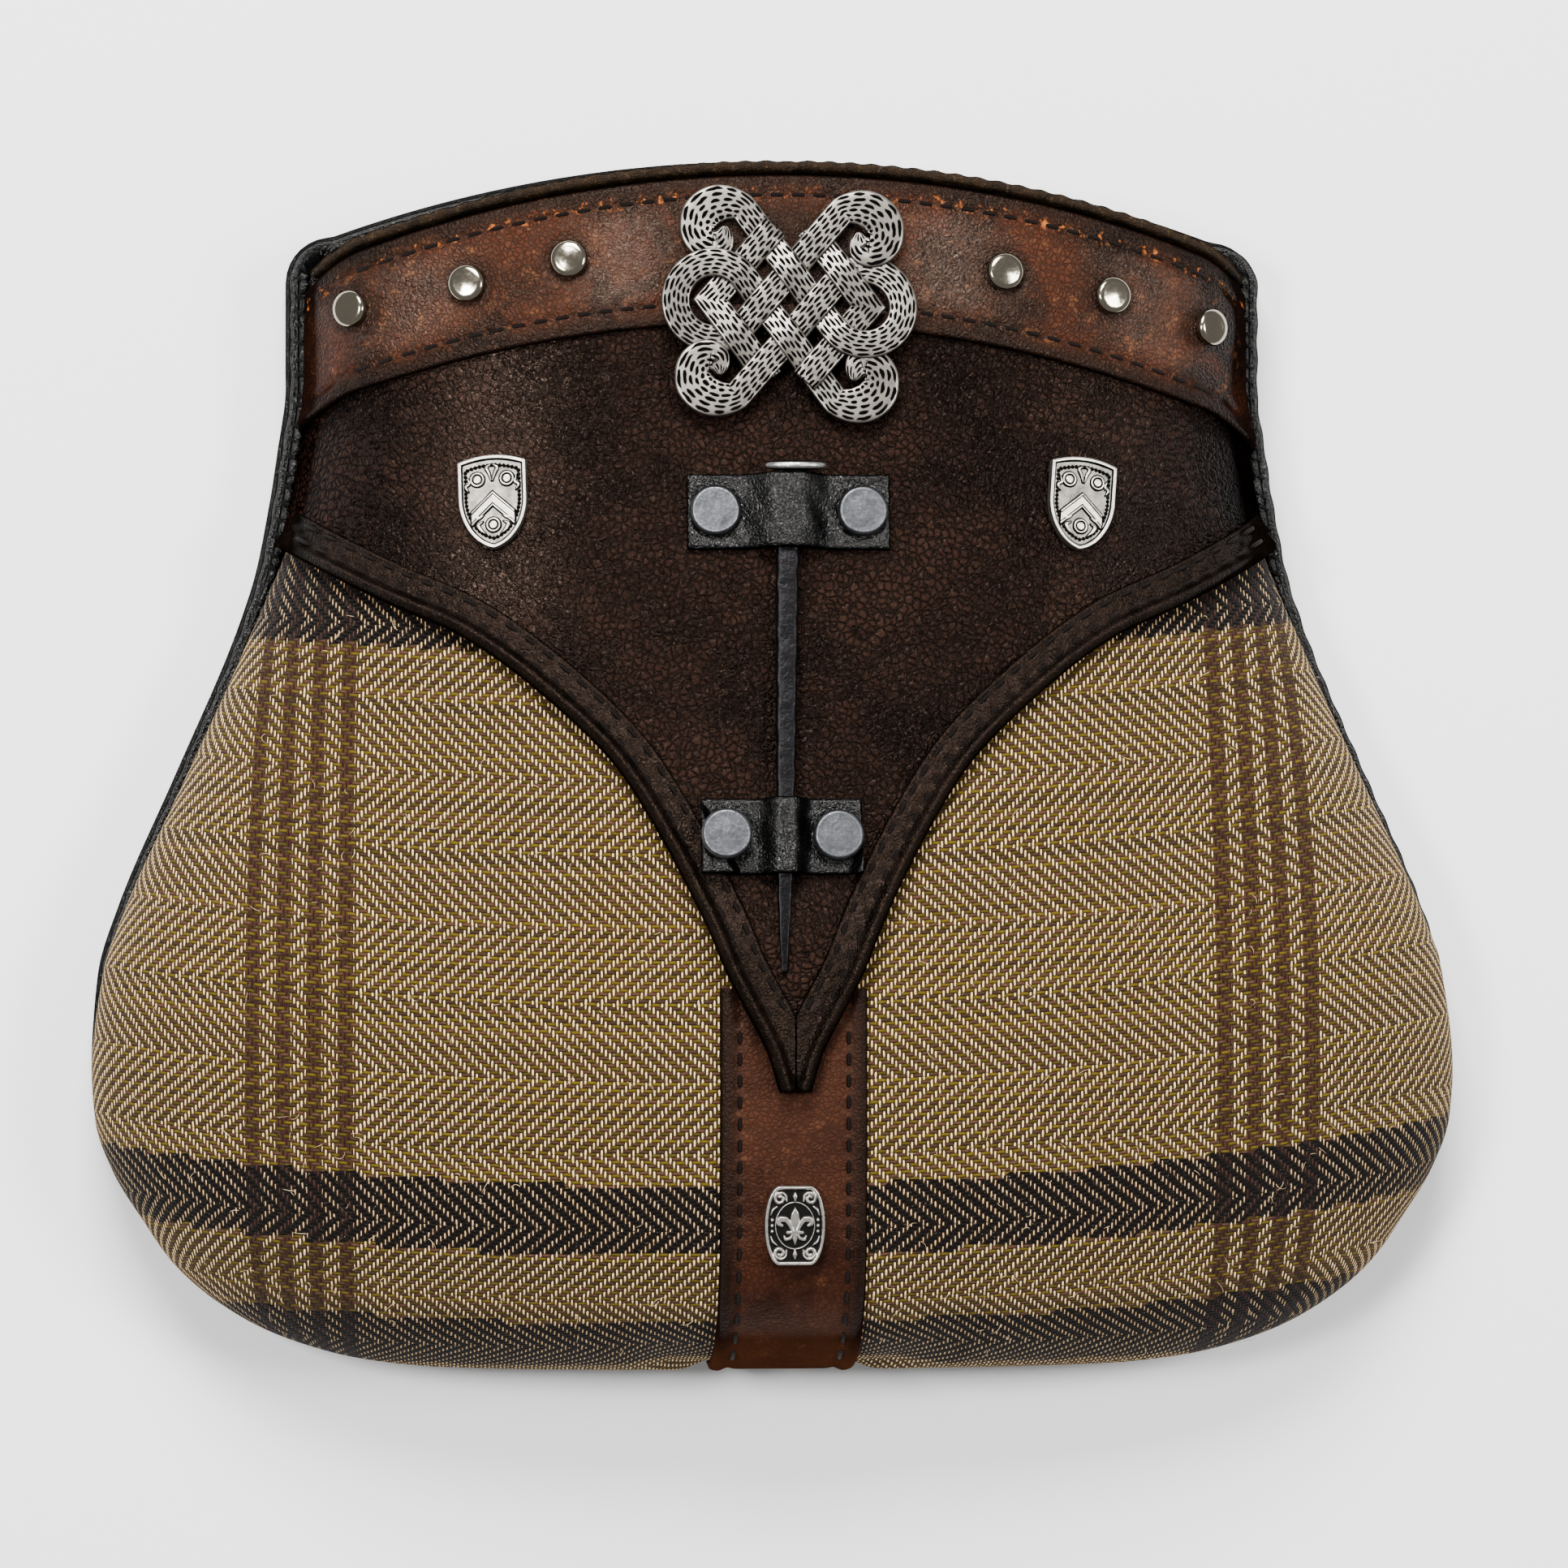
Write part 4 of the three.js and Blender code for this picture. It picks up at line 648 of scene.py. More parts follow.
def tweed_material():
    """Herringbone: the upright yarn is on top where (column + zigzag of the row) mod 4 is under 2."""
    material, w, shader, place = new_material("herringbone tweed")
    cloth = w.node("UVMap").outputs[0]
    split = w.node("SeparateXYZ", Vector=w.nudged(cloth, place, 260.0, 2.0, (0.5, 0.5)))
    across = w.over(split.outputs[0], COLUMN_PITCH)
    along = w.over(split.outputs[1], ROW_PITCH)
    column, row = w.math("FLOOR", across), w.math("FLOOR", along)
    in_column, in_row = w.math("FRACT", across), w.math("FRACT", along)
    band = w.math("FLOORED_MODULO", w.plus(row, float(TURN_PHASE)), 2.0 * TURN_YARNS)
    zigzag = w.math("ABSOLUTE", w.minus(band, float(TURN_YARNS)))
    phase = w.math("FLOORED_MODULO", w.plus(column, zigzag), 4.0)
    upright = w.math("LESS_THAN", phase, 1.5)
    falling = w.math("LESS_THAN", band, TURN_YARNS - 0.5)
    step = w.math("ABSOLUTE", w.minus(falling, in_row))
    upright_run = w.over(w.plus(phase, step), 2.0)
    level_run = w.over(w.plus(w.minus(phase, 2.0), in_column), 2.0)

    def bow(fraction, power):
        """Round section: 1 - |2 fraction - 1| to a power."""
        return w.minus(1.0, w.math("POWER", w.off_middle(fraction), power))

    def float_height(width, length):
        """Yarn lying on top: round across it, and bowed a little along it."""
        return w.times(bow(width, 2.2), w.line(bow(length, 2.0), 0.7, 0.3))

    off_middle = w.off_middle(in_column)
    off_end = w.off_middle(upright_run)
    oval = w.math("POWER", w.over(off_middle, CREAM_SHARE), 2.0)
    oval = w.plus(oval, w.math("POWER", off_end, 4.0))
    dark_row = w.value("dark_rows")
    slub = w.noise(place, 900.0, 3.0)
    oval = w.minus(oval, w.line(slub, 2.0, -1.0))
    oval = w.line(dark_row, 0.5, oval)
    narrow = w.ramp(oval, 0.75, 1.25, 1.0, 0.0)
    upright_height = w.times(float_height(in_column, upright_run), w.line(narrow, 0.6, 0.4))
    level_height = float_height(in_row, level_run)
    on_top = w.node("Mix", {"data_type": "FLOAT"}, i0=upright, i2=level_height, i3=upright_height)
    height = on_top.outputs[0]

    yarn_lot = w.node("TexWhiteNoise", {"noise_dimensions": "1D"}, W=column).outputs[0]
    row_lot = w.node("TexWhiteNoise", {"noise_dimensions": "1D"}, W=w.plus(row, 0.5)).outputs[0]
    cream = w.mix(w.times(yarn_lot, slub), colour(238, 202, 148), colour(204, 160, 104))
    from_middle = w.math("ABSOLUTE", w.minus(split.outputs[0], STRIPES_MIDDLE))
    stripe_yarn = w.over(w.minus(from_middle, STRIPES_FROM), COLUMN_PITCH)
    stripe_step = w.math("FLOORED_MODULO", stripe_yarn, 2.0 * STRIPE_YARNS)
    inside = w.times(w.math("GREATER_THAN", stripe_yarn, 0.0),
                    w.math("LESS_THAN", stripe_yarn, STRIPE_YARNS * (2.0 * STRIPES - 1)))
    maroon = w.times(inside, w.math("LESS_THAN", stripe_step, float(STRIPE_YARNS)))
    upright_tint = w.mix(maroon, cream, colour(40, 8, 15))
    upright_tint = w.mix(w.times(dark_row, 0.4), upright_tint, colour(80, 58, 50))
    olive = w.mix(row_lot, colour(86, 71, 14), colour(58, 48, 10))
    taupe = w.mix(row_lot, colour(74, 49, 34), colour(46, 31, 21))
    odd = w.math("FLOORED_MODULO", row, 2.0)
    level_tint = w.mix(odd, olive, taupe)
    level_tint = w.mix(w.math("GREATER_THAN", dark_row, 0.5), level_tint, colour(5, 4, 4))
    tint = w.mix(w.times(upright, narrow), level_tint, upright_tint)
    shade = w.ramp(height, 0.0, 0.7, 0.7, 0.0)
    tint = w.mix(shade, tint, colour(26, 16, 8))
    fibre = w.noise(place, 2600.0, 4.0, 0.7)
    tint = w.mix(w.ramp(fibre, 0.6, 0.82, 0.0, 0.3), tint, colour(236, 220, 196))
    w.feed(shader, "Base Color", tint)
    w.settle(shader, Roughness=0.92, Specular_IOR_Level=0.06, Sheen_Weight=0.03, Sheen_Roughness=0.5)
    fuzz = w.line(w.noise(place, 1800.0, 4.0, 0.75), 0.35, height)
    bump(w, shader, fuzz, 0.34)
    return material


TWEED = tweed_material()

# %% [markdown]
# The cloth follows the dome. Its UV map is measured along the surface, so the yarns keep their width
# on the steep sides, and black cross yarns make three dark bands over it.

# %% Tweed front
TWEED_COLUMNS = 260
TWEED_ROWS = 178
LOW_ROWS = 30
LOW_SHARE = 0.1
DARK_BANDS = [
    # lowest and highest place of each band of black cross yarns, in millimetres of cloth
    (-9.0, 8.8), (23.4, 36.3), (133.5, 150),
]
CLOTH_ANCHOR = 100
CLOTH_BOW = 5.6e-4
CLOTH_SLANT = 0.018


def tweed_front():
    """Dome over turns across and steps up; the UV is the length of cloth across and along."""
    low = np.linspace(0, 1, LOW_ROWS)[:-1] ** 2.4 * LOW_SHARE
    step = np.concatenate([low, np.linspace(LOW_SHARE, 1, TWEED_ROWS - len(low))])
    share, step = np.meshgrid(even_shares(TWEED_COLUMNS), step)
    up = lip_up(share) * step
    outer = front_point(share, up)
    inner = outer - front_normal(share, up) * TWEED_WALL
    inner[..., 2] = np.maximum(inner[..., 2], RIM_Z)
    middle = TWEED_COLUMNS // 2
    across = np.linalg.norm(np.diff(outer, axis=1), axis=-1)
    across = np.concatenate([np.zeros((TWEED_ROWS, 1)), np.cumsum(across, 1)], 1)
    across -= (across[:, middle - 1:middle] + across[:, middle:middle + 1]) / 2
    line = np.linspace(0, POUCH_HEIGHT, 4000)
    path = front_point(np.zeros_like(line), line)
    length = length_along(path)
    x = outer[..., 0]
    from_anchor = np.interp(up, line, length) - np.interp(CLOTH_ANCHOR, line, length)
    along = from_anchor + CLOTH_ANCHOR - CLOTH_SLANT * x - CLOTH_BOW * x * x
    dark = sum((along > low) & (along < high) for low, high in DARK_BANDS)
    add_sheet("tweed_front_cloth", outer, inner, TWEED, "tweed_front",
              uv=np.stack([across, along], -1), values={"dark_rows": dark})


tweed_front()

# %% [markdown]
# Wool sheds a few hairs. They are real geometry, laid at chance places on the open cloth, clear of the
# leather.

# %% Loose fibres
FIBRES = 420
FIBRE_RADIUS = 0.06
FIBRE_STATIONS = 6


def fibre_material():
    """Pale wool."""
    material, w, shader, place = new_material("loose wool")
    tint = w.mix(w.noise(place, 40.0), colour(150, 116, 70), colour(240, 214, 170))
    w.settle(shader, Base_Color=tint, Roughness=0.9)
    return material


def loose_fibres():
    """Fine hairs that stand off the cloth: bent, tapering tubes with three sides, at chance places."""
    chance = np.random.default_rng(11)
    share = chance.uniform(-0.97, 0.97, FIBRES)
    up = chance.uniform(4, 150, FIBRES)
    t = np.clip((YOKE_SIDE_UP - up) / (YOKE_SIDE_UP - YOKE_POINT_UP), 0, 1)
    x = share * half_width(up)
    covered = np.where(up > YOKE_POINT_UP, yoke_edge(t)[0], STRAP_WIDTH / 2)
    bare = (np.abs(x) > covered + 3) & (up < YOKE_SIDE_UP - 12)
    x, up = x[bare], up[bare]
    count = len(x)
    a = np.linspace(0, 1, FIBRE_STATIONS)
    heading = chance.uniform(0, 2 * np.pi, count)[:, None] + chance.normal(0, 1.4, count)[:, None] * a
    reach = chance.uniform(0.8, 2.6, count)[:, None] / (FIBRE_STATIONS - 1)
    across = x[:, None] + np.cumsum(np.cos(heading) * reach, 1)
    along = up[:, None] + np.cumsum(np.sin(heading) * reach, 1)
    centre = on_front(across, along, 0.15 + chance.uniform(0.1, 0.5, count)[:, None] * np.sin(np.pi * a))
    normal = front_normal(across / half_width(along), along)
    side = np.cross(unit(np.gradient(centre, axis=1)), normal)
    radius = FIBRE_RADIUS * (1 - 0.7 * a)
    add_tubes("loose_fibres", centre, side, normal, radius, 3, 1, fibre_material())


loose_fibres()

# %% [markdown]
# A layer of leather is a strip over the dome. Its height follows the leather's thickness, falls off
# in a round edge, and dips along each row of stitches, where the thread pulls the leather down.

# %% Stitched leather layers
STITCH_PITCH = 3.9
STITCH_LENGTH = 3.1
STITCHES_START = 1.5
THREAD = 0.42
THREAD_SIDES = 6
EDGE_ROUND = 0.6


def draped(name, share, up, bottom, top, material, node, values=None):
    """Closed sheet over the dome between two heights, for grids of shares and places up."""
    share = set_back(share, up)
    base, normal = front_point(share, up), front_normal(share, up)
    outer, inner = (base + normal * np.broadcast_to(h, up.shape)[..., None] for h in (top, bottom))
    add_sheet(name, outer, inner, material, node,
              uv=np.stack([share * half_width(up), up], -1), values=values)


def stitch_dip(distance, along, depth=0.35):
    """How far leather is pulled down near a row of stitches, deepest at the holes between stitches."""
    furrow = bell(distance, 0, 0.9)
    holes = 0.6 + 0.4 * np.cos(2 * np.pi * along / STITCH_PITCH)
    return depth * furrow * holes


def thread_mesh(name, centre, side, normal, material):
    """Row of stitches: each is a small bent capsule through its own line of stations.

    centre, side and normal are arrays of stitches by stations by 3; radius falls off at both ends."""
    count, stations = centre.shape[:2]
    a = np.linspace(-1, 1, stations)
    radius = THREAD * np.sqrt(np.clip(1 - np.abs(a) ** 3, 0.02, 1))
    wound = np.stack(np.meshgrid(around(THREAD_SIDES) / (2 * np.pi), a), -1)
    uv = np.broadcast_to(wound, (count, *wound.shape)).reshape(-1, 2)
    add_tubes(name, centre, side, normal, radius, THREAD_SIDES, 0.8, material, uv)


def stitch_row(name, place, length, height, material):
    """Stitches along a line on the dome: place(s) gives across and up at a length s along it."""
    count = int((length - 2 * STITCHES_START) / STITCH_PITCH)
    first = (length - count * STITCH_PITCH) / 2
    a = np.linspace(-1, 1, 7)
    s = first + STITCH_PITCH * (np.arange(count)[:, None] + 0.5) + a * STITCH_LENGTH / 2
    x, up = place(s)
    base = np.asarray(height(x, up) if callable(height) else height)
    lift = base + 0.16 - 0.62 * np.abs(a) ** 4
    centre = on_front(x, up, np.broadcast_to(lift, x.shape))
    ahead = on_front(*place(s + 0.05), np.broadcast_to(lift, x.shape))
    normal = front_normal(np.clip(x / half_width(up), -1, 1), up)
    thread_mesh(name, centre, np.cross(unit(ahead - centre), normal), normal, material)


def thread_material(name, base, dark):
    """Waxed thread: two plies that wind round it as slanted ridges."""
    material, w, shader, _ = new_material(name)
    uv = w.node("SeparateXYZ", Vector=w.node("UVMap").outputs[0])
    wind = w.math("SINE", w.times(w.line(uv.outputs[1], 2.2, uv.outputs[0]), 4 * np.pi))
    w.feed(shader, "Base Color", w.mix(w.ramp(wind, -0.9, 0.4), dark, base))
    w.settle(shader, Roughness=0.7, Specular_IOR_Level=0.1)
    bump(w, shader, wind, 0.08)
    return material


DARK_THREAD = thread_material("dark thread", colour(18, 11, 8), colour(6, 4, 3))
BLACK_THREAD = thread_material("black thread", colour(14, 13, 13), colour(4, 4, 4))

# %% [markdown]
# The yoke is the first layer. It is one grid between its lower edge and the lip, drawn in a little at
# the nail's head, and hands have polished it round the left shield and a little on the right. Under the
# knot brooch its colour is darkened as painted shade.

# %% Yoke
YOKE_COLUMNS = 220
YOKE_ROWS = 130
CREASE_EYE = (-0.3, YOKE_POINT_UP + 118)


def radiating_creases(x, up):
    """Small folds that run out from the nail's head, where the leather is drawn in."""
    across, along = x - CREASE_EYE[0], up - CREASE_EYE[1]
    far = np.hypot(across, along)
    angle = np.arctan2(across, along)
    fold = np.sin(15 * angle + 1.5 * np.sin(3 * angle)) + 0.5 * np.sin(27 * angle + 2)
    return 0.17 * fold * bell(far, 9, 5.5)


def yoke():
    """Grid from the yoke's lower edge to the lip at steady shares; the edge is found by looking up."""
    t = np.linspace(0, 1, 2000)
    half, up = yoke_edge(t)
    edge_share = half / half_width(up)
    turn = np.linspace(-1, 1, YOKE_COLUMNS)
    share = bent(turn, 1.5)
    low = np.interp(np.abs(share), edge_share[::-1], up[::-1])
    step = np.linspace(0, 1, YOKE_ROWS)[:, None]
    place = low + (lip_up(share) - low) * step
    share = np.broadcast_to(share, place.shape)
    lift = yoke_lift(place)
    x = share * half_width(place)
    top = YOKE_TOP + lift + radiating_creases(x, place)
    polished = bell(x, -54, 11) * ease((place - 128) / 18)
    polished = polished + 0.35 * bell(x, 62, 14)
    # Painted shade: the leather under the knot brooch is darkened through the edge value.
    values = {"edge": painted_brooch_shade(x, place) * 0.7, "polished": polished}
    draped("yoke_leather", share, place, DRAPE_GAP + lift, top, YOKE_DARK, "yoke", values)


yoke()

# %% [markdown]
# The band is a strip below the lip. Its stitches lie in furrows, its borders are burnished dark, and the
# six studs stand in slight hollows, each a little off its place, as hand-set studs are. Round each stud,
# at the band's two steep ends and under the knot brooch, shade is painted dark.

# %% Band along the mouth
BAND_STITCH_IN = 3.8
STUD_RADIUS = 3.5
STUD_DRIFT = np.array([
    # how far each hand-set stud is from its place, across and up, in stud radii
    (0, 0.75), (0.25, 0.1), (0, 0.2), (0, -0.35), (0.25, -0.2), (0, 0),
])
STUD_X = np.array([-77.9, -58.8, -39.7, 39.7, 58.8, 77.9]) + STUD_DRIFT[:, 0] * STUD_RADIUS
STUD_UP = lip_up(STUD_X / half_width(POUCH_HEIGHT)) - 13 + STUD_DRIFT[:, 1] * STUD_RADIUS
BAND_POLISH = [
    # middle and reach of each place that hands have polished, across
    (-87, 7), (-68, 9), (-30, 8), (30, 9), (68, 10), (88, 7),
]


def top_band():
    """Strip below the lip: round edges, two stitched furrows, and a dished place round each stud."""
    share, step = np.meshgrid(even_shares(420), fine_ends(BAND_WIDTH, EDGE_ROUND, 62) / BAND_WIDTH)
    width = band_width(share * half_width(POUCH_HEIGHT))
    inset = step * width
    up = lip_up(share) - width + inset
    x = share * half_width(up)
    from_edge = np.minimum(inset, width - inset)
    top = YOKE_TOP + GAP + BAND_LEATHER * (0.35 + 0.65 * rounded(from_edge, EDGE_ROUND))
    row = from_edge - BAND_STITCH_IN
    top = top - stitch_dip(row, x) - 0.12 * ease(1 - from_edge / BAND_STITCH_IN)
    stud = np.min(np.hypot(x[..., None] - STUD_X, up[..., None] - STUD_UP), -1)
    top = top - 0.35 * bell(stud, 3.2, 1.7)
    # The borders are burnished dark; the dark ring round each stud is painted shade.
    burnish_and_shade = ease(1.25 - from_edge / BAND_STITCH_IN) + 0.8 * bell(stud, 3.3, 1.5)
    # Painted shade at the band's two steep ends, where it turns away from the light.
    burnish_and_shade = burnish_and_shade + 0.9 * ease((np.abs(share) - 0.95) / 0.05)
    polished = np.max([bell(x, spot, reach) for spot, reach in BAND_POLISH], 0)
    # Painted shade under the knot brooch is added to this.
    values = {"edge": np.clip(burnish_and_shade + painted_brooch_shade(x, up), 0, 1), "from_top": width - inset,
              "polished": polished * ease(from_edge / 5 - 0.6)}
    draped("top_band_leather", share, up, YOKE_TOP + GAP, top, BAND_BROWN, "top_band",
           values)


top_band()


def band_line(inset, from_top):
    """Place along the band at a distance in from its upper or lower edge, by length across."""
    half = half_width(POUCH_HEIGHT) - 4

    def place(s):
        x = s - half
        lip = lip_up(x / half_width(POUCH_HEIGHT))
        return x, lip - inset if from_top else lip - band_width(x) + inset
    return place, 2 * half


for label, from_top in (("lower", False), ("upper", True)):
    place, length = band_line(BAND_STITCH_IN, from_top)
    stitch_row("band_stitches_" + label, place, length, BAND_TOP - 0.28, DARK_THREAD)

# %% [markdown]
# The trim is worked out along the yoke's edge: a place on it is a length along that edge and a distance
# in from it. Towards the point the two halves run out of room, so the distance is kept from crossing the
# middle.

# %% Trim along the yoke's edge
TRIM_STATIONS = 240
TRIM_STITCHES_IN = {"outer": 3.3, "inner": 6.2}


def trim_line():
    """Even steps along the yoke's lower edge with the direction inwards at each."""
    t = np.linspace(0, 1, 4000)
    half, up = yoke_edge(t)
    length = length_along(np.stack([half, up], -1))
    s = np.linspace(0, length[-1], TRIM_STATIONS)
    half, up = np.interp(s, length, half), np.interp(s, length, up)
    slope = unit(np.stack([np.gradient(half, s), np.gradient(up, s)], -1))
    inward = np.stack([slope[:, 1], -slope[:, 0]], -1)
    return s, half, up, inward


TRIM_S, TRIM_HALF, TRIM_UP, TRIM_IN = trim_line()


def trim_place(s, inset):
    """Half width and height at a length along the trim and a distance in from its outer edge."""
    half, up = np.interp(s, TRIM_S, TRIM_HALF), np.interp(s, TRIM_S, TRIM_UP)
    in_x, in_up = np.interp(s, TRIM_S, TRIM_IN[:, 0]), np.interp(s, TRIM_S, TRIM_IN[:, 1])
    room = np.minimum(inset, (half - 0.15) / np.maximum(-in_x, 1e-3))
    return half + in_x * room, up + in_up * room


def trim_height(inset, s):
    """Section of the trim: a roll along the outer edge, then a flat strip between two stitch rows.

    Both thin out at the side, where the trim is sewn into the seam."""
    full = 0.45 + 0.55 * ease(s / 10)
    roll = TRIM_ROLL * ease(s / 14) * bell(inset, 1.6, 1.15)
    flat = TRIM_LEATHER * full * (0.4 + 0.6 * rounded(np.minimum(inset, TRIM_WIDTH - inset), EDGE_ROUND))
    pucker = 0.13 * np.cos(2 * np.pi * s / STITCH_PITCH) * bell(inset, 4.9, 1.2)
    dips = sum(stitch_dip(inset - row, s, 0.3) for row in TRIM_STITCHES_IN.values())
    return flat + roll + pucker - dips


def trim(side, name, node):
    """Strip along one half of the yoke's edge, turned so that its faces point out on both sides."""
    inset, s = np.meshgrid(fine_ends(TRIM_WIDTH, EDGE_ROUND, 26), TRIM_S)
    half, up = trim_place(s, inset)
    share = np.clip(side * half / half_width(up), -1, 1)
    bed = YOKE_TOP + yoke_lift(up) + DRAPE_GAP
    top = bed + trim_height(inset, s)
    if side > 0:
        share, up, bed, top = (a[:, ::-1] for a in (share, up, bed, top))
    share, up, bed, top = (a[::-1] for a in (share, up, bed, top))
    draped(name, share, up, bed, top, TRIM_DARK, node)


for side, label in ((-1, "left"), (1, "right")):
    trim(side, f"trim_{label}_leather", f"trim_{label}")
    for row, inset in TRIM_STITCHES_IN.items():
        def place(s, side=side, inset=inset):
            half, up = trim_place(s, inset)
            return side * half, up

        def height(x, up):
            return YOKE_TOP + yoke_lift(up) + DRAPE_GAP + TRIM_LEATHER - 0.25
        stitch_row(f"trim_stitches_{label}_{row}", place, TRIM_S[-1] - 10, height,
                   DARK_THREAD)

# %% [markdown]
# The strap comes out from under the yoke and runs round the bottom edge. Its borders are dark and rolled,
# and where it turns under, away from the lamps, its colour is painted paler as painted light.

# %% Centre strap
STRAP_STITCH_IN = 3.5


def centre_strap():
    """Strip from under the yoke round the bottom edge, with rolled borders outside its stitches."""
    inset = fine_ends(STRAP_WIDTH, EDGE_ROUND, 50)
    up = np.concatenate([np.linspace(0, 1, 60)[:-1] ** 2.2 * 24, np.linspace(24, STRAP_TOP, 120)])
    inset, up = np.meshgrid(inset, up)
    from_edge = np.minimum(inset, STRAP_WIDTH - inset)
    border = 0.35 * bell(from_edge, 1.6, 1.0)
    top = GAP + (STRAP_LEATHER - 0.3) * (0.4 + 0.6 * rounded(from_edge, EDGE_ROUND)) + border
    top = top - stitch_dip(from_edge - STRAP_STITCH_IN, up, 0.3)
    x = inset - STRAP_WIDTH / 2
    outer, inner = (on_front(x, up, h) for h in (top, GAP))
    edge = ease(1.3 - from_edge / STRAP_STITCH_IN) * ease(up / 9 - 0.2)
    # Painted light: the rubbed value pales the strap where it turns under, away from the lamps.
    add_sheet("centre_strap_leather", outer, inner, STRAP_BROWN, "centre_strap",
              values={"edge": edge, "rubbed": ease((17 - up) / 13)})


centre_strap()
for side, label in ((-1, "left"), (1, "right")):
    def place(s, side=side):
        return np.full_like(s, side * (STRAP_WIDTH / 2 - STRAP_STITCH_IN)), s + 1.0
    stitch_row("strap_stitches_" + label, place, STRAP_TOP - 6, STRAP_STACK - 0.45,
               DARK_THREAD)

# %% Binding over the mouth's lip
LIP_BINDING_HEIGHT = 2.3
LIP_BINDING_BEHIND = 2.2
LIP_BINDING_PROUD = 0.5
LIP_BINDING_REACH = 0.985
LIP_BINDING_SIDES = 20


def lip_binding():
    """Round roll along the lip: a squared ellipse carried along it, puckered at each stitch."""
    share = LIP_BINDING_REACH * even_shares(320)
    up = lip_up(share)
    base = front_point(share, up) + np.array([0, DRAPE_GAP, 0])
    normal = front_normal(share, up)
    turn = around(LIP_BINDING_SIDES)
    low, high = -LIP_BINDING_BEHIND, BAND_TOP + LIP_BINDING_PROUD
    out = (low + high) / 2 + (high - low) / 2 * bent(np.cos(turn), 0.6)
    x = share * half_width(POUCH_HEIGHT)
    pucker = 1 + 0.07 * np.cos(2 * np.pi * x / STITCH_PITCH)
    rise = LIP_BINDING_HEIGHT * (0.5 + 0.5 * bent(np.sin(turn), 0.7))
    points = base[:, None] + normal[:, None] * out[None, :, None]
    points[..., 1] += rise[None] * pucker[:, None]
    points[..., 2] = np.maximum(points[..., 2], RIM_Z)
    faces = tube_faces(len(share), LIP_BINDING_SIDES)
    add_mesh("lip_binding_leather", points.reshape(-1, 3), faces, LIP_OLIVE, "lip_binding")


lip_binding()

# %% [markdown]
# The seam between front and back is closed by black leather. Along the upper sides it shows as a bead
# that whip stitches gather into small lumps, with a smooth edge outside it; along the mouth it only
# edges the back. It is one section, of changing height and width, carried round the back's outline.

# %% Outline of the back
BINDING_Z = 5.8
BACK_OUTER_Z = 3.5
BACK_LEATHER = 2
BINDING_FLARE = 6
BINDING_WIDTH = 3.2
BACK_MARGIN = 0.7
CORNER_RADIUS = 8
MOUTH_RADIUS = 240
BACK_TOP_UP = POUCH_HEIGHT + 5.1
GATHER_PITCH = 3.0
MOUTH_BINDING_HEIGHT = 2.6
SIDE_BINDING_HEIGHT = 8.4

FLARE = np.array([
    # share of the height, how far the binding stands outside the front in shares of BINDING_FLARE
    (0, -0.1), (0.25, -0.08), (0.34, 0.07), (0.39, 0.13), (0.5, 0.23), (0.61, 0.32), (0.65, 0.44),
    (0.72, 0.8), (0.775, 0.88), (0.85, 1), (1, 1),
])


def back_outline(count=1500):
    """Even stations round the back: place, outward direction, share of side (0 along the mouth), length."""
    share = np.linspace(0, 0.86, 600)
    up = share * POUCH_HEIGHT
    half = half_width(up)
    slope = np.gradient(half, up)
    flare = BINDING_FLARE * steady_curve(FLARE, share)
    size = np.hypot(1, slope)
    right = np.stack([half + flare / size, up - flare * slope / size, np.ones_like(up)], -1)
    right[0, 1] = min(right[0, 1], right[1, 1])
    side_x = right[-1, 0]
    corner_x = side_x - CORNER_RADIUS
    corner_y = BACK_TOP_UP - MOUTH_RADIUS + np.sqrt(MOUTH_RADIUS ** 2 - corner_x ** 2) - CORNER_RADIUS
    turn = np.linspace(0, np.pi / 2, 40)[:-1]
    corner = np.stack([corner_x + CORNER_RADIUS * np.cos(turn), corner_y + CORNER_RADIUS * np.sin(turn),
                       1 - turn / (np.pi / 2)], -1)
    x = np.linspace(corner_x, 0, 120)
    mouth_y = BACK_TOP_UP - MOUTH_RADIUS + np.sqrt(MOUTH_RADIUS ** 2 - x * x)
    mouth = np.stack([x, mouth_y, np.zeros_like(x)], -1)
    half_line = np.concatenate([right, corner, mouth])
    line = np.concatenate([half_line, half_line[-2::-1] * [-1, 1, 1]])
    ring = np.concatenate([line, line[:1]])
    length = length_along(ring[:, :2])
    s = np.linspace(0, length[-1], count, endpoint=False)
    x, y, side = (np.interp(s, length, ring[:, k]) for k in range(3))
    along = unit(np.stack([np.roll(x, -2) - np.roll(x, 2), np.roll(y, -2) - np.roll(y, 2)], -1))
    out = np.stack([along[:, 1], -along[:, 0]], -1)
    pulled = np.where(y < POUCH_HEIGHT / 2, strap_pull(x / half_width(np.clip(y, 0, POUCH_HEIGHT)), y), 0)
    return np.stack([x, y + pulled + BOTTOM_Y], -1), out, ease(side), s


BACK_LINE, BACK_OUT, BACK_SIDE, BACK_S = back_outline()


# %% Edge binding
def binding_shape():
    """Height and width of the binding, and how far its bead shows, at each station."""
    up = np.clip(BACK_LINE[:, 1] - BOTTOM_Y, 0, POUCH_HEIGHT)
    reach = np.clip(np.abs(BACK_LINE[:, 0]) - half_width(up), 0, BINDING_FLARE)
    width = BINDING_WIDTH + BACK_SIDE * reach * 0.75
    height = MOUTH_BINDING_HEIGHT + (SIDE_BINDING_HEIGHT - MOUTH_BINDING_HEIGHT) * BACK_SIDE
    bead = ease((reach - 2.4) / 1.6) * ease(BACK_SIDE * 3 - 2)
    return height, width, bead


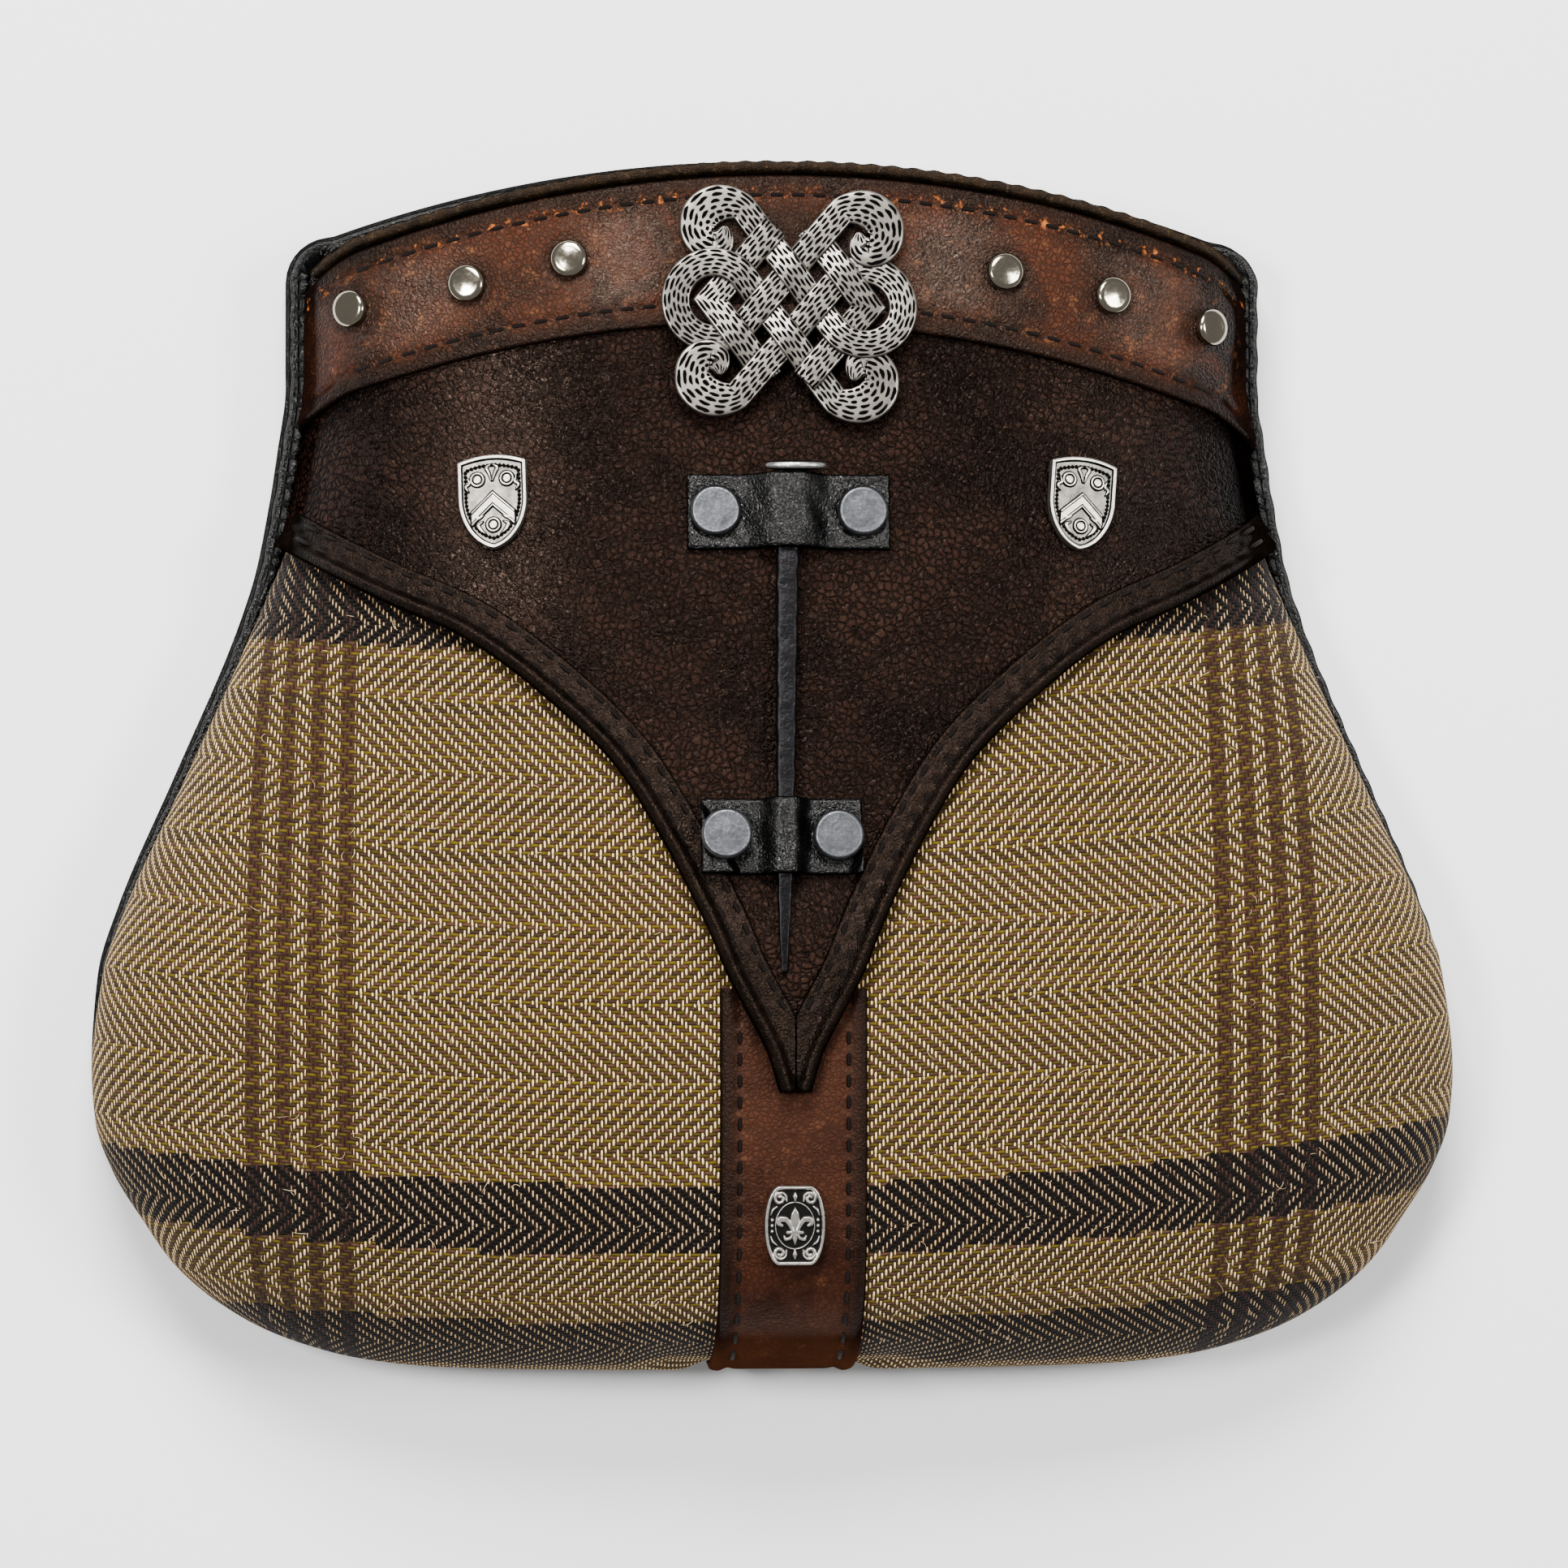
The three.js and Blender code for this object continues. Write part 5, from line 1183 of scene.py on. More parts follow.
def gather(s):
    """Fullness between whip stitches: rounded lumps, each about GATHER_PITCH long, of uneven size."""
    warped = s + 0.45 * np.sin(s * 0.83) + 0.3 * np.sin(s * 1.71 + 1)
    return np.abs(np.sin(np.pi * warped / GATHER_PITCH)) ** 0.55


def edge_binding():
    """Closed section through rows of (out, height): wall, outer edge, valley, bead, and inner wall."""
    height, width, bead = (a[:, None] for a in binding_shape())
    lump = gather(BACK_S)[:, None]
    wave = 0.12 * np.sin(BACK_S * 0.9)[:, None] * BACK_SIDE[:, None]
    turn = np.linspace(0, np.pi / 2, 6)
    wall = np.array([0.3, 0.5, 0.7, 0.85])
    outer_out = -0.95 * (1 - np.cos(turn)) + wave
    outer_z = height - 0.95 * (1 - np.sin(turn))
    arc = np.linspace(0, np.pi, 9)
    radius = (0.72 + 0.5 * lump) * bead + 0.25 * (1 - bead)
    bead_out = -1.35 - radius * (1 - np.cos(arc)) - 0.15 * bead
    bead_z = height - 0.45 + radius * np.sin(arc) * (0.35 + 1.05 * bead * (0.45 + 0.55 * lump))
    inner_out = np.concatenate([0.5 - width, -width, -width], 1)
    inner_z = np.concatenate([height - 0.3, height - 0.9, 0.4 + 0 * height], 1)
    low_out = np.concatenate([-width + 0.4, -0.4 + 0 * width, 0 * width], 1)
    low_z = np.concatenate([0 * height, 0 * height, 0.4 + 0 * height], 1)
    wall_out = 0 * wall + wave
    wall_z = height * wall * 0.85
    out = np.concatenate([low_out, wall_out, outer_out, bead_out, inner_out], 1)
    z = np.concatenate([low_z, wall_z, outer_z, bead_z, inner_z], 1)
    out = np.maximum(out, -width)
    place = BACK_LINE[:, None] + BACK_OUT[:, None] * out[..., None]
    points = np.concatenate([place, BINDING_Z + z[..., None]], -1)
    faces = tube_faces(*out.shape, closed=True)
    add_mesh("edge_binding_leather", points.reshape(-1, 3), faces, BLACK_GRAINED,
             "edge_binding")


edge_binding()


def whip_stitches():
    """Short threads over the bead, one at each narrow place, slanting a little along it."""
    height, _, bead = binding_shape()
    fullness = gather(BACK_S)
    low = (fullness < np.roll(fullness, 1)) & (fullness <= np.roll(fullness, -1)) & (bead > 0.6)
    at = np.flatnonzero(low)
    a = np.linspace(0, 1, 7)
    along = np.stack([-BACK_OUT[at, 1], BACK_OUT[at, 0]], -1)
    out = -1.1 - 1.9 * a
    z = BINDING_Z + height[at][:, None] - 0.35 + 0.95 * np.sin(np.pi * a) ** 0.7
    flat = BACK_LINE[at][:, None] + BACK_OUT[at][:, None] * out[None, :, None]
    flat = flat + along[:, None] * ((a - 0.5) * 0.9)[None, :, None]
    centre = np.concatenate([flat, z[..., None]], -1)
    side = np.zeros_like(centre)
    side[..., :2] = along[:, None]
    normal = np.cross(unit(np.gradient(centre, axis=1)), side)
    thread_mesh("whip_stitches", centre, side, normal, BLACK_THREAD)


whip_stitches()


# %% [markdown]
# The back is a flat plate, and the belt loop is one more sheet, flattened as it lies under the pouch.
# Badges are plates too, so the function takes a relief for the upper face.

# %% Back panel and belt loop
BACK_MIDDLE_Y = -15.0


def add_plate(name, outline, rings, thickness, relief, material, node, place, round_edge=0.3):
    """Flat plate: rings of the outline shrunk to its middle, a relief on top, a wall and a flat back.

    outline is rows of (x, y) round the middle, rings the shares of it from the middle outwards, and
    relief(x, y) gives the height over the thickness; place turns the flat points into their seat."""
    count = len(outline)
    grid = outline[None] * np.asarray(rings)[:, None, None]
    x, y = grid[..., 0], grid[..., 1]
    rise, mark = relief(x, y)
    top = np.stack([x, y, thickness + rise], -1)
    down = np.array([thickness - round_edge, 0.3, 0.0])[:, None]
    wall = np.stack(np.broadcast_arrays(outline[:, 0], outline[:, 1], down), -1)
    top[-1, :, 2] -= round_edge * 0.3
    body = np.concatenate([top, wall])
    marks = np.concatenate([mark, np.full((3, count), 0.5)])
    index = np.arange(body.shape[0] * count).reshape(-1, count)
    faces = np.stack([index[:-1], index[1:], np.roll(index[1:], -1, 1), np.roll(index[:-1], -1, 1)], -1)
    first = body.shape[0] * count
    middle_rise, middle_mark = relief(np.zeros(1), np.zeros(1))
    ends = np.array([[0, 0, thickness + middle_rise[0]], [0, 0, 0]])
    over = np.stack([index[0], np.roll(index[0], -1), np.full(count, first)], -1)
    under = np.stack([np.roll(index[-1], -1), index[-1], np.full(count, first + 1)], -1)
    points = np.concatenate([body.reshape(-1, 3), ends])
    faces = [*faces.reshape(-1, 4), *over, *under]
    marks = np.concatenate([marks.ravel(), [middle_mark[0], 0.5]])
    add_mesh(name, place(points), faces, material, node, uv=points[:, :2], values={"patina_and_shade": marks})


def back_panel():
    """Flat sheet a little larger than its binding, with a soft round edge."""
    line = (BACK_LINE + BACK_OUT * BACK_MARGIN)[::3]

    def relief(x, y):
        return 0 * x, 0 * y

    def place(points):
        return points + [0, BACK_MIDDLE_Y, BACK_OUTER_Z]
    rings = np.linspace(0.04, 1, 26) ** 0.8
    add_plate("back_panel_leather", line - [0, BACK_MIDDLE_Y], rings, BACK_LEATHER, relief,
              BLACK_GRAINED, "back_panel", place, round_edge=0.6)


back_panel()
LOOP_CENTRE_Y = sum(v[1] for v in box_mm("belt_loop")) / 2
LOOP_HALF = 46
LOOP_WIDTH = 60
LOOP_SEWN = 11


def belt_loop():
    """Strap behind the back, sewn at both ends, that steps down between them to let a belt through."""
    across = fine_ends(LOOP_WIDTH, 0.8, 40) - LOOP_WIDTH / 2
    along = fine_ends(2 * LOOP_HALF, 0.8, 110) - LOOP_HALF
    x, y = np.meshgrid(across, along)
    from_end = LOOP_HALF - np.abs(y)
    from_edge = np.minimum(LOOP_WIDTH / 2 - np.abs(x), from_end)
    fall = 1.2 * ease((from_end - LOOP_SEWN) / 5)
    top = BACK_OUTER_Z - 0.3 - fall - 0.25 * (1 - rounded(from_edge, 0.8))
    low = BACK_OUTER_Z - 2.3 - fall + 0.7 * (1 - rounded(from_edge, 0.8))
    low = low + 0.25 * bell(from_edge, 3.2, 0.7) * (from_end < LOOP_SEWN)
    low = np.maximum(low, 0)
    y = y + LOOP_CENTRE_Y
    outer, inner = np.stack([x, y, top], -1), np.stack([x, y, low], -1)
    add_sheet("belt_loop_leather", outer, inner, BLACK_GRAINED, "belt_loop")


belt_loop()

# %% [markdown]
# Metal ornaments are cast, blackened and rubbed bright again, so their hollows stay dark. Each mesh
# carries a value for this, worked out from its own relief. On the knot, the rivets and the nail that value
# also holds painted shade, the rivets' rims keep the bright tint as a painted gleam, and on each stud it
# darkens the lower wall.

# %% Metals
def metal(name, base, dark, rough, stain=0.35, relief=0.03, grain=1400.0, speckle=0.1):
    """Metal, darker where its value of blackening and painted shade is high, and rubbed bright where it is
    below 0.
    """
    material, w, shader, place = new_material(name)
    cloud = w.noise(place, 420.0, 5.0, 0.65)
    fine = w.noise(place, grain, 4.0, 0.7)
    patina_and_shade = w.value("patina_and_shade")
    soiled = w.plus(patina_and_shade, w.line(cloud, stain, -stain * 0.5))
    soil = w.ramp(soiled, 0.25, 0.8)
    tint = w.mix(w.times(w.ramp(fine, 0.36, 0.62), speckle), w.mix(soil, base, dark), dark)
    rubbed = w.ramp(patina_and_shade, -0.8, -0.1, 0.8, 0.0)
    w.feed(shader, "Base Color", w.mix(rubbed, tint, colour(176, 175, 172)))
    w.feed(shader, "Metallic", 1.0)
    uneven = w.line(fine, 0.25, rough - 0.125)
    w.feed(shader, "Roughness", w.line(soil, 0.3, uneven))
    bump(w, shader, w.line(cloud, 2.0, fine), relief)
    return material


def dash_group():
    """Rows of short engraved dashes: staggered cells along a strand, with an oval in each."""
    group, enter, leave = new_group("engraved dashes", {"Row": 0.62, "Pitch": 2.0}, ["Mask"])
    w = Wiring(group)
    split = w.node("SeparateXYZ", Vector=enter.outputs["Vector"])
    across = w.over(split.outputs[0], enter.outputs["Row"])
    row = w.math("FLOOR", across)
    lot = w.node("TexWhiteNoise", {"noise_dimensions": "1D"}, W=w.plus(row, 17.3)).outputs[0]
    slid = w.plus(w.over(split.outputs[1], enter.outputs["Pitch"]), lot)
    cell = w.math("FLOOR", slid)
    pair = w.node("CombineXYZ", i0=row, i1=cell)
    length = w.node("TexWhiteNoise", {"noise_dimensions": "2D"}, Vector=pair.outputs[0]).outputs[0]
    a = w.line(w.math("FRACT", across), 2.0, -1.0)
    b = w.line(w.math("FRACT", slid), 2.0, -1.0)
    b = w.over(b, w.line(length, 0.3, 0.66))
    oval = w.plus(w.times(w.times(a, a), 2.4), w.times(b, b))
    w.feed(leave, "Mask", w.ramp(oval, 0.6, 1.1, 1.0, 0.0))
    return group


DASHES = dash_group()


def knot_material():
    """Antique silver with dashes engraved along each strand, by the strand's own UV in millimetres."""
    material, w, shader, place = new_material("engraved antique silver")
    uv = w.node("UVMap").outputs[0]
    uv = w.nudged(uv, place, 500.0, 1.0, (0.5, 0.9))
    dashes = use_group(w, DASHES, Vector=uv, Row=0.8, Pitch=2.3).outputs[0]
    from_middle = w.math("ABSOLUTE", w.node("SeparateXYZ", Vector=uv).outputs[0])
    dashes = w.times(dashes, w.ramp(from_middle, 2.1, 2.45, 1.0, 0.0))
    patina_and_shade = w.value("patina_and_shade")
    cloud = w.noise(place, 420.0, 5.0, 0.65)
    # The mesh value adds oxide and painted shade low on the strands.
    dark = w.math("MAXIMUM", dashes, w.ramp(w.line(cloud, 0.4, patina_and_shade), 0.45, 0.95))
    w.feed(shader, "Base Color", w.mix(dark, colour(112, 107, 100), colour(7, 6, 6)))
    w.feed(shader, "Metallic", 1.0)
    w.feed(shader, "Roughness", w.line(dark, 0.35, w.line(cloud, 0.2, 0.26)))
    sunk = w.line(dashes, -1.0, w.times(cloud, 0.3))
    bump(w, shader, sunk, 0.16)
    return material


KNOT_SILVER = knot_material()
SILVER = metal("antique silver", colour(190, 184, 174), colour(12, 11, 10), 0.32, stain=0.4)
LILY_SILVER = metal("blackened silver", colour(188, 184, 177), colour(22, 21, 20), 0.3, stain=0.5)
NICKEL = metal("polished nickel", colour(150, 142, 126), colour(50, 45, 38), 0.12, stain=0.5, relief=0.008)
GUNMETAL = metal("satin gunmetal", colour(92, 93, 96), colour(32, 33, 35), 0.34, relief=0.06, grain=1500.0,
                 speckle=0.4)
FORGED = metal("forged steel", colour(26, 25, 26), colour(9, 9, 9), 0.32, stain=0.7, relief=0.1,
               grain=900.0, speckle=0.4)


# %% [markdown]
# Flat pieces, such as the studs and badges, lie on a curved front. A seat is the plane that just clears
# the leather under such a piece; the piece is modelled flat and then put on its seat.

# %% Seats
def seat(x, up, half_x, half_y, top_at):
    """Middle and axes of a plane over a patch of the front, GAP clear of everything under it."""
    a, b = np.meshgrid(np.linspace(-1, 1, 9), np.linspace(-1, 1, 9))
    x, up = np.float64(x), np.float64(up)
    normal = front_normal(x / half_width(up), up)
    middle = on_front(x, up, top_at(x, up))
    px, pu = x + a * half_x, up + b * half_y
    over = (on_front(px, pu, top_at(px, pu)) - middle) @ normal
    middle = middle + normal * (max(over.max(), 0) + GAP)
    right = unit(np.array([1, 0, 0]) - normal * normal[0])
    return middle, np.stack([right, np.cross(normal, right), normal])


def seated(where, lean=0.0):
    """Function that turns a flat piece's points by its lean in degrees and puts them on their seat."""
    middle, axes = where
    c, s = np.cos(np.radians(lean)), np.sin(np.radians(lean))
    turn = np.array([[c, s, 0], [-s, c, 0], [0, 0, 1]])
    return lambda points: points @ turn @ axes + middle


# %% Studs
def studs():
    """Nickel caps: a nearly flat disc with a round rim, each pressed a little into the band."""
    r = STUD_RADIUS
    angle = np.radians(np.linspace(0, 78, 12))
    rim = np.stack([r - 1.05 * (1 - np.cos(angle)), 0.4 + 1.05 * np.sin(angle)], -1)
    flat = [(r * 0.7, 1.5), (r * 0.62, 1.51), (r * 0.5, 1.56), (r * 0.3, 1.63), (r * 0.12, 1.66), (0, 1.67)]
    profile = [(0, -0.5), (r * 0.9, -0.5), (r * 0.98, -0.3), (r, 0.1), *rim, *flat]
    for i, (x, up) in enumerate(zip(STUD_X, STUD_UP)):
        where = seat(x, up, r, r, lambda a, b: BAND_TOP)
        points, faces = lathe(profile, 48)
        # The value darkens the lower wall of each cap, where it meets the band.
        add_mesh(f"stud_{i + 1}_cap", seated(where, 37.0 * i)(points), faces, NICKEL,
                 f"stud_{i + 1}", values={"patina_and_shade": np.clip(0.6 - points[:, 2], 0, 0.5)})


studs()

# %% [markdown]
# The nail is a straight bar, so it can't follow the curved yoke: it is raised until it clears the yoke
# everywhere. The keepers then arch over it.

# %% Nail
NAIL_LENGTH = 92.3
NAIL_TOP = YOKE_POINT_UP + 21.4 + NAIL_LENGTH
NAIL_WIDTH = 4.1
NAIL_THICKNESS = 2.9
NAIL_POINT_ACROSS = -2.1
NAIL_TILT = np.tan(np.radians(1))
NAIL_SIDES = 24

NAIL_TAPER = np.array([
    # share of the length from the head, share of the full width
    (0, 1), (0.18, 1), (0.36, 0.94), (0.62, 0.83), (0.81, 0.68), (0.87, 0.58), (0.94, 0.41), (1, 0.2),
])


def nail_bed(down):
    """Across, up and the yoke's height in z under the nail at a share of its length."""
    up = NAIL_TOP - down * NAIL_LENGTH
    x = NAIL_POINT_ACROSS + NAIL_TILT * (up - NAIL_TOP + NAIL_LENGTH)
    return x, up, on_front(x, up, YOKE_TOP + yoke_lift(up))[..., 2]


NAIL_SAMPLES = np.linspace(0, 1, 41)
NAIL_BED_Z = nail_bed(NAIL_SAMPLES)[2]
NAIL_FROM_Z = NAIL_BED_Z[0]
NAIL_FALL = NAIL_BED_Z[-1] - NAIL_FROM_Z
NAIL_RAISE = np.max(NAIL_BED_Z - (NAIL_FROM_Z + NAIL_FALL * NAIL_SAMPLES))


def nail_line(down):
    """Underside of the nail: a straight line that clears the yoke by GAP everywhere."""
    x, up, _ = nail_bed(down)
    return x, up, NAIL_FROM_Z + NAIL_FALL * down + NAIL_RAISE + GAP


def nail():
    """Forged bar: a square section with worn corners, hammered flats, and an oval head on edge."""
    down = np.concatenate([np.linspace(0, 0.9, 200), 1 - 0.1 * np.linspace(1, 0, 40)[1:] ** 1.3])
    x, up, z = nail_line(down)
    size = steady_curve(NAIL_TAPER, down)
    size = size * np.clip((1.004 - down) / 0.012, 0.02, 1) ** 0.5
    turn = around(NAIL_SIDES, np.pi / NAIL_SIDES)
    c, s = np.cos(turn), np.sin(turn)
    a, b = bent(c, 0.36), bent(s, 0.36)
    dent = 0.02 * np.sin(down[:, None] * 71 + 2 * c) + 0.015 * np.sin(down[:, None] * 133 + 3 * s + 1)
    wide = NAIL_WIDTH / 2 * size[:, None] * (1 + dent)
    tall = NAIL_THICKNESS / 2 * size[:, None] * (1 + dent)
    points = np.stack([x[:, None] + a * wide, up[:, None] + BOTTOM_Y + 0 * a,
                       z[:, None] + NAIL_THICKNESS / 2 * size[:, None] + b * tall], -1)
    shaft = points.reshape(-1, 3)
    # The upper corners are worn bright; the right half of the bar is darkened as painted shade.
    corner = 0.35 * (c > 0) - 0.95 * (np.abs(a * b) > 0.8) * (s > 0)
    shaft_wear_and_shade = np.where(down[:, None] > 0.9, 0, corner).ravel()
    shaft_faces = [f[::-1] for f in tube_faces(len(down), NAIL_SIDES)]
    profile = [(0, -0.75), (0.82, -0.75), (0.95, -0.6), (1, -0.2), (0.99, 0.25), (0.9, 0.62), (0.7, 0.78),
               (0, 0.86)]
    head, head_faces = lathe(profile, 40)
    head_worn = -0.9 * (np.hypot(head[:, 0], head[:, 1]) > 0.93) * (head[:, 1] < 0.2)
    top = nail_line(np.array(0.0))
    head = np.stack([top[0] + 1.3 + head[:, 0] * 5.7, top[1] + BOTTOM_Y + 0.6 + head[:, 2],
                     top[2] + 2.8 - head[:, 1] * 2.8], -1)
    faces = [*shaft_faces, *[np.asarray(f) + len(shaft) for f in head_faces]]
    add_mesh("nail_forged", np.concatenate([shaft, head]), faces, FORGED, "nail",
             values={"patina_and_shade": np.concatenate([shaft_wear_and_shade, head_worn])})


nail()

# %% Keepers
KEEPER_LEATHER = 1.5
KEEPER_HEIGHT = 13.8
RIVET_RADIUS = 4.65
KEEPERS = {
    # middle above the bottom edge, across, width, distance between the rivets
    "upper": (NAIL_TOP - 8.3, -0.3, 37, 26.7),
    "lower": (NAIL_TOP - 67.6, -2.2, 29.3, 20.3),
}
EDGE_T = np.linspace(0, 1, 61)
EDGE_HALF, EDGE_UP = yoke_edge(EDGE_T)


def keeper_bed(x, up):
    """Leather that a keeper lies on: the yoke, and the trim under its corners."""
    near = np.min(np.hypot(np.abs(x)[..., None] - EDGE_HALF, np.asarray(up)[..., None] - EDGE_UP), -1)
    over_trim = ease((TRIM_WIDTH + 2.5 - near) / 2)
    return YOKE_TOP + yoke_lift(up) + over_trim * (DRAPE_GAP + TRIM_LEATHER + TRIM_ROLL)


def keeper_height(keeper, x, up):
    """Underside of a keeper over the tweed: its bed, and an arch over the nail."""
    pitch = keeper[-1]
    reach = (pitch - 2 * RIVET_RADIUS) / 2 - 0.35
    x, up = np.broadcast_arrays(np.asarray(x, float), np.asarray(up, float))
    down = np.clip((NAIL_TOP - up) / NAIL_LENGTH, 0, 1)
    nail_x, _, nail_z = nail_line(down)
    share = nail_x / half_width(up)
    point, normal = front_point(share, up), front_normal(share, up)
    top = np.stack([nail_x, up + BOTTOM_Y, nail_z + NAIL_THICKNESS * steady_curve(NAIL_TAPER, down)], -1)
    nail_top = np.sum((top - point) * normal, -1)
    arch = 1 - ease((np.abs(x - nail_x) / reach - 0.24) / 0.76)
    bed = keeper_bed(x, up)
    return bed + DRAPE_GAP + arch * np.maximum(nail_top - bed, 0)


def keeper(label, first_rivet):
    """Leather tab over the nail, pinched down round its two rivets, and the rivets on it."""
    size = KEEPERS[label]
    middle, across, width, pitch = size
    inset, high = np.meshgrid(fine_ends(width, 0.7, 150), fine_ends(KEEPER_HEIGHT, 0.7, 44))
    x, up = across - width / 2 + inset, middle - KEEPER_HEIGHT / 2 + high
    low = keeper_height(size, x, up)
    from_edge = np.minimum(np.minimum(inset, width - inset), np.minimum(high, KEEPER_HEIGHT - high))
    rivets = np.array([across - pitch / 2, across + pitch / 2])
    ring = np.min(np.hypot(x[..., None] - rivets, up[..., None] - middle), -1)
    top = low + KEEPER_LEATHER * (0.45 + 0.55 * rounded(from_edge, 0.7))
    top = top - 0.4 * bell(ring, 3.8, 1.4)
    top = top + 0.12 * np.sin(x * 1.3 + up * 0.7) * ease(from_edge / 2)
    add_sheet(f"keeper_{label}_leather", on_front(x, up, top), on_front(x, up, low),
              BLACK_GRAINED, f"keeper_{label}")
    r = RIVET_RADIUS
    profile = [(0, -0.6), (r * 0.9, -0.6), (r * 0.99, -0.4), (r, 0.2), (r, 0.75), (r - 0.1, 0.98),
               (r - 0.32, 1.22), (r - 0.52, 1.36), (r - 0.66, 1.38), (r - 0.8, 1.36), (r * 0.6, 1.44),
               (r * 0.3, 1.49), (0, 1.5)]
    for k, spot in enumerate(rivets):
        def top_at(a, b):
            return keeper_height(size, a, b) + KEEPER_LEATHER
        where = seat(spot, middle, r * 0.8, r * 0.8, top_at)
        points, faces = lathe(profile, 64)
        radius = np.hypot(points[:, 0], points[:, 1])
        # Painted light: the rim keeps the bright tint as a painted gleam, and the flat top and the wall are
        # darkened as painted shade.
        shade = np.where(radius > r - 0.7, 0.0, 0.5) + np.where(points[:, 2] < 0.5, 0.5, 0)
        rivet = f"keeper_rivet_{first_rivet + k}"
        add_mesh(rivet + "_cap", seated(where, 20)(points), faces, GUNMETAL, rivet,
                 values={"patina_and_shade": shade})


keeper("upper", 1)
keeper("lower", 3)

# %% [markdown]
# Badges are reliefs. A figure is drawn as strokes: at each place the distance to the nearest stroke,
# less the stroke's half width there, says whether the place is on the figure, and the height eases
# between the ground and the figure.

# %% Relief helpers
def stroke(x, y, line, widths):
    """Distance from places to a stroke through points, less its half width: below 0 inside it."""
    line, widths = np.asarray(line, float), np.asarray(widths, float)
    keys = np.linspace(0, 1, len(line))
    t = np.linspace(0, 1, 40)
    px, py = (steady_curve(np.stack([keys, line[:, k]], -1), t) for k in range(2))
    pw = np.interp(t, np.linspace(0, 1, len(widths)), widths)
    return np.min(np.hypot(x[..., None] - px, y[..., None] - py) - pw, -1)


def raised(distance, soft=0.16):
    """Height share of a figure whose edge eases over twice soft."""
    return ease(0.5 - distance / (2 * soft))


def even_outline(points, count):
    """Closed line resampled at even lengths, turning to the left."""
    ring = np.concatenate([points, points[:1]])
    length = length_along(ring)
    s = np.linspace(0, length[-1], count, endpoint=False)
    return np.stack([np.interp(s, length, ring[:, k]) for k in range(2)], -1)


def bezier(*corners):
    """Points of a Bezier curve of any degree, by repeated mixing of its corners."""
    t = np.linspace(0, 1, 40)[:, None]
    rows = [np.array(c, float)[None] + 0 * t for c in corners]
    while len(rows) > 1:
        rows = [a + (b - a) * t for a, b in zip(rows[:-1], rows[1:])]
    return rows[0]


def mirrored(right):
    """Closed outline from its right half, which runs from the bottom to the top."""
    return np.concatenate([right, (right * [-1, 1])[::-1]])


def edge_distance(x, y, outline):
    """Distance from places to an outline, by its nearest point."""
    return np.min(np.hypot(x[..., None] - outline[:, 0], y[..., None] - outline[:, 1]), -1)


# %% Shields
SHIELD_WIDTH = 12.6
SHIELD_HEIGHT = 17.3
SHIELD_THICKNESS = 1.3
SHIELD_RELIEF = 0.45
SHIELD_ACROSS = 53.5
SHIELD_UP = POUCH_HEIGHT - 60.6
SHIELD_LEAVES = [
    # points from root to tip, and half widths
    (((0.2, 6.9), (1.0, 6.3), (0.5, 5.2), (0.15, 3.9)), (0.12, 0.3, 0.25, 0.1)),
    (((1.8, -2.6), (2.7, -3.0), (3.3, -2.3), (3.9, -2.7)), (0.1, 0.32, 0.3, 0.1)),
    (((1.9, -3.7), (2.8, -4.3), (2.3, -5.2), (1.5, -5.9)), (0.1, 0.35, 0.3, 0.1)),
    (((4.4, 2.0), (4.9, 2.9), (4.2, 3.6), (4.6, 4.6)), (0.1, 0.28, 0.26, 0.1)),
]


def shield_outline():
    """Arched top, straight shoulders and a round point."""
    w, h = SHIELD_WIDTH / 2, SHIELD_HEIGHT / 2
    right = np.concatenate([
        bezier((0, -h), (w * 0.6, -h * 0.9), (w * 0.95, -h * 0.45), (w, 0)),
        bezier((w, 0), (w, h * 0.86)), bezier((w, h * 0.86), (w * 0.5, h), (0, h))])
    return even_outline(mirrored(right), 260)


def shield_relief(outline):
    """Rim, a beaded line inside it, a grooved chevron, three roundels with bosses, and small leaves."""
    inner = outline * (1 - 2 * 1.35 / SHIELD_WIDTH)
    beads = inner[::5]

    def relief(x, y):
        rim = raised(edge_distance(x, y, outline) - 0.72)
        bead = raised(edge_distance(x, y, beads) - 0.24, 0.12) * 0.6
        fold = np.abs(x) * 0.92
        chevron = np.abs(y - 0.6 + fold) * 0.74 - 1.05
        chevron = np.maximum(chevron, np.abs(x) - 4.1)
        groove = raised(np.abs(np.abs(y - 0.6 + fold) * 0.74 - 0.62) - 0.06, 0.08) * 0.35
        figure = raised(chevron) - groove * (chevron < 0)
        spots = np.array([(-2.75, 4.2), (2.75, 4.2), (0, -4.3)])
        far = np.min(np.hypot(x[..., None] - spots[:, 0], y[..., None] - spots[:, 1]), -1)
        roundel = raised(far - 1.4) - 0.55 * raised(np.abs(far - 0.85) - 0.1, 0.1)
        away = np.abs(x)
        leaves = [stroke(away, y, line, widths) for line, widths in SHIELD_LEAVES]
        high = np.max([rim, bead, figure, roundel, *[raised(leaf, 0.11) for leaf in leaves]], 0)
        hammered = 0.024 * np.sin(x * 9) * np.sin(y * 9) * (high < 0.2)
        slopes = 2.4 * np.sqrt(np.clip(high * (1 - high), 0, 1))
        return SHIELD_RELIEF * high + hammered, np.clip(slopes + 0.54 * (high < 0.5), 0, 1)
    return relief


for label, side, lean in (("left", -1, 1.5), ("right", 1, -5)):
    outline = shield_outline()
    where = seat(side * SHIELD_ACROSS, SHIELD_UP, SHIELD_WIDTH / 2, SHIELD_HEIGHT / 2, leather_top)
    add_plate(f"shield_{label}_cast", outline, np.linspace(0.02, 1, 72), SHIELD_THICKNESS,
              shield_relief(outline), SILVER, f"shield_{label}", seated(where, lean))

